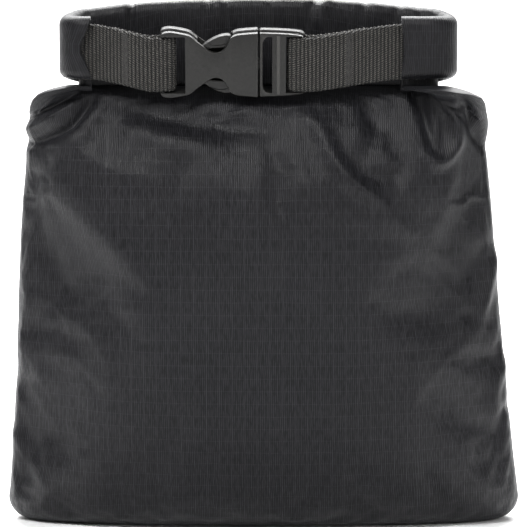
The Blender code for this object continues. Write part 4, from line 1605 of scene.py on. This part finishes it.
def back_folds() -> list[Fold]:
    """Folds of the back cloth."""
    return [
        Fold(((-60, 156), (-66, 144), (-72, 134)), -1.6, 2.2),
        Fold(((-40, 156), (-44, 142), (-46, 130)), -1.2, 2.6),
        Fold(((-12, 157), (-14, 144), (-16, 134)), -1.0, 2.8),
        Fold(((18, 157), (20, 142), (24, 130)), -1.2, 2.6),
        Fold(((46, 156), (50, 142), (56, 130)), -1.5, 2.4),
        Fold(((62, 154), (68, 142), (74, 132)), -1.3, 2.0),
        Fold(((-70, 110), (-40, 96), (-10, 100)), 1.2, 8.0),
        Fold(((10, 70), (40, 84), (72, 76)), 1.0, 8.0),
        Fold(((-88, 60), (-76, 50), (-74, 36)), -1.0, 4.0),
        Fold(((88, 64), (78, 50), (78, 36)), -1.0, 4.0),
    ]


def dress_hidden(names: tuple[str, ...], material: bpy.types.Material) -> None:
    """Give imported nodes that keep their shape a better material."""
    for name in names:
        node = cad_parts[name]
        node.data.materials.clear()
        node.data.materials.append(material)


def main() -> None:
    """Build every piece in order and report it."""
    logging.basicConfig(level=logging.INFO, format="%(message)s")
    cloth = RipstopFinish().material("ripstop")
    # painted shade: the roll uses the same ripstop with its lighter tone dimmed
    rolled = RipstopFinish(light=(0.0150, 0.0148, 0.0175)).material("ripstop_rolled_painted_shade")
    webbing = WebbingFinish().material("webbing")
    plastic = MouldedPlastic().material("moulded_plastic")
    thread = ThreadFinish().material("thread")
    film = TapeFinish().material("sealing_tape")
    dress_hidden(("seam_tape_bottom",), film)
    dress_hidden(("mouth_stiffener",), MouldedPlastic(roughness=0.5).material("stiffener_strip"))
    path = RollPath()
    body = BagBody(path, folds=front_folds(), back_folds=back_folds())
    bag, *tapes = body.build(cloth, film)
    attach(bag, "bag")
    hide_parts("front_panel", "back_panel")
    LOG.info("bag cloth: %d faces", len(bag.data.polygons))
    for side, tape in zip(Side, tapes):
        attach(tape, "bag")
        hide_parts(f"seam_tape_{side.name.lower()}")
        LOG.info("%s: %d faces", tape.name, len(tape.data.polygons))
    roll = RolledMouth(path).build(rolled)
    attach(roll, "bag")
    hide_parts("mouth_roll")
    LOG.info("rolled mouth: %d faces", len(roll.data.polygons))
    buckle = BuckleFrame()
    for side, body, node, distance in ((Side.LEFT, "bag", "strap_left", 0.0220), (Side.RIGHT, "bag", "strap_right", 0.0280)):
        strap = WebbingStrap(path, buckle, side)
        piece = strap.build(webbing)
        tack = BarTack(strap, distance).build(thread)
        for item in (piece, tack):
            if side is Side.RIGHT:
                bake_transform(item)
            else:
                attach(item, body)
        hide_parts(node)
        LOG.info("%s: %d faces", piece.name, len(piece.data.polygons))
    maker = SideReleaseBuckle(buckle, plastic)
    for piece, body, node in (
        (maker.socket(), "bag", "buckle_socket"),
        (maker.plug(), "plug", "buckle_plug"),
        (maker.arm("buckle_arm_upper", 1), "upper_arm", "release_arm_upper"),
        (maker.arm("buckle_arm_lower", -1), "lower_arm", "release_arm_lower"),
    ):
        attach(piece, body)
        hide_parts(node)
        LOG.info("%s: %d faces", piece.name, len(piece.data.polygons))
    Studio().build()


if __name__ == "__main__":
    main()
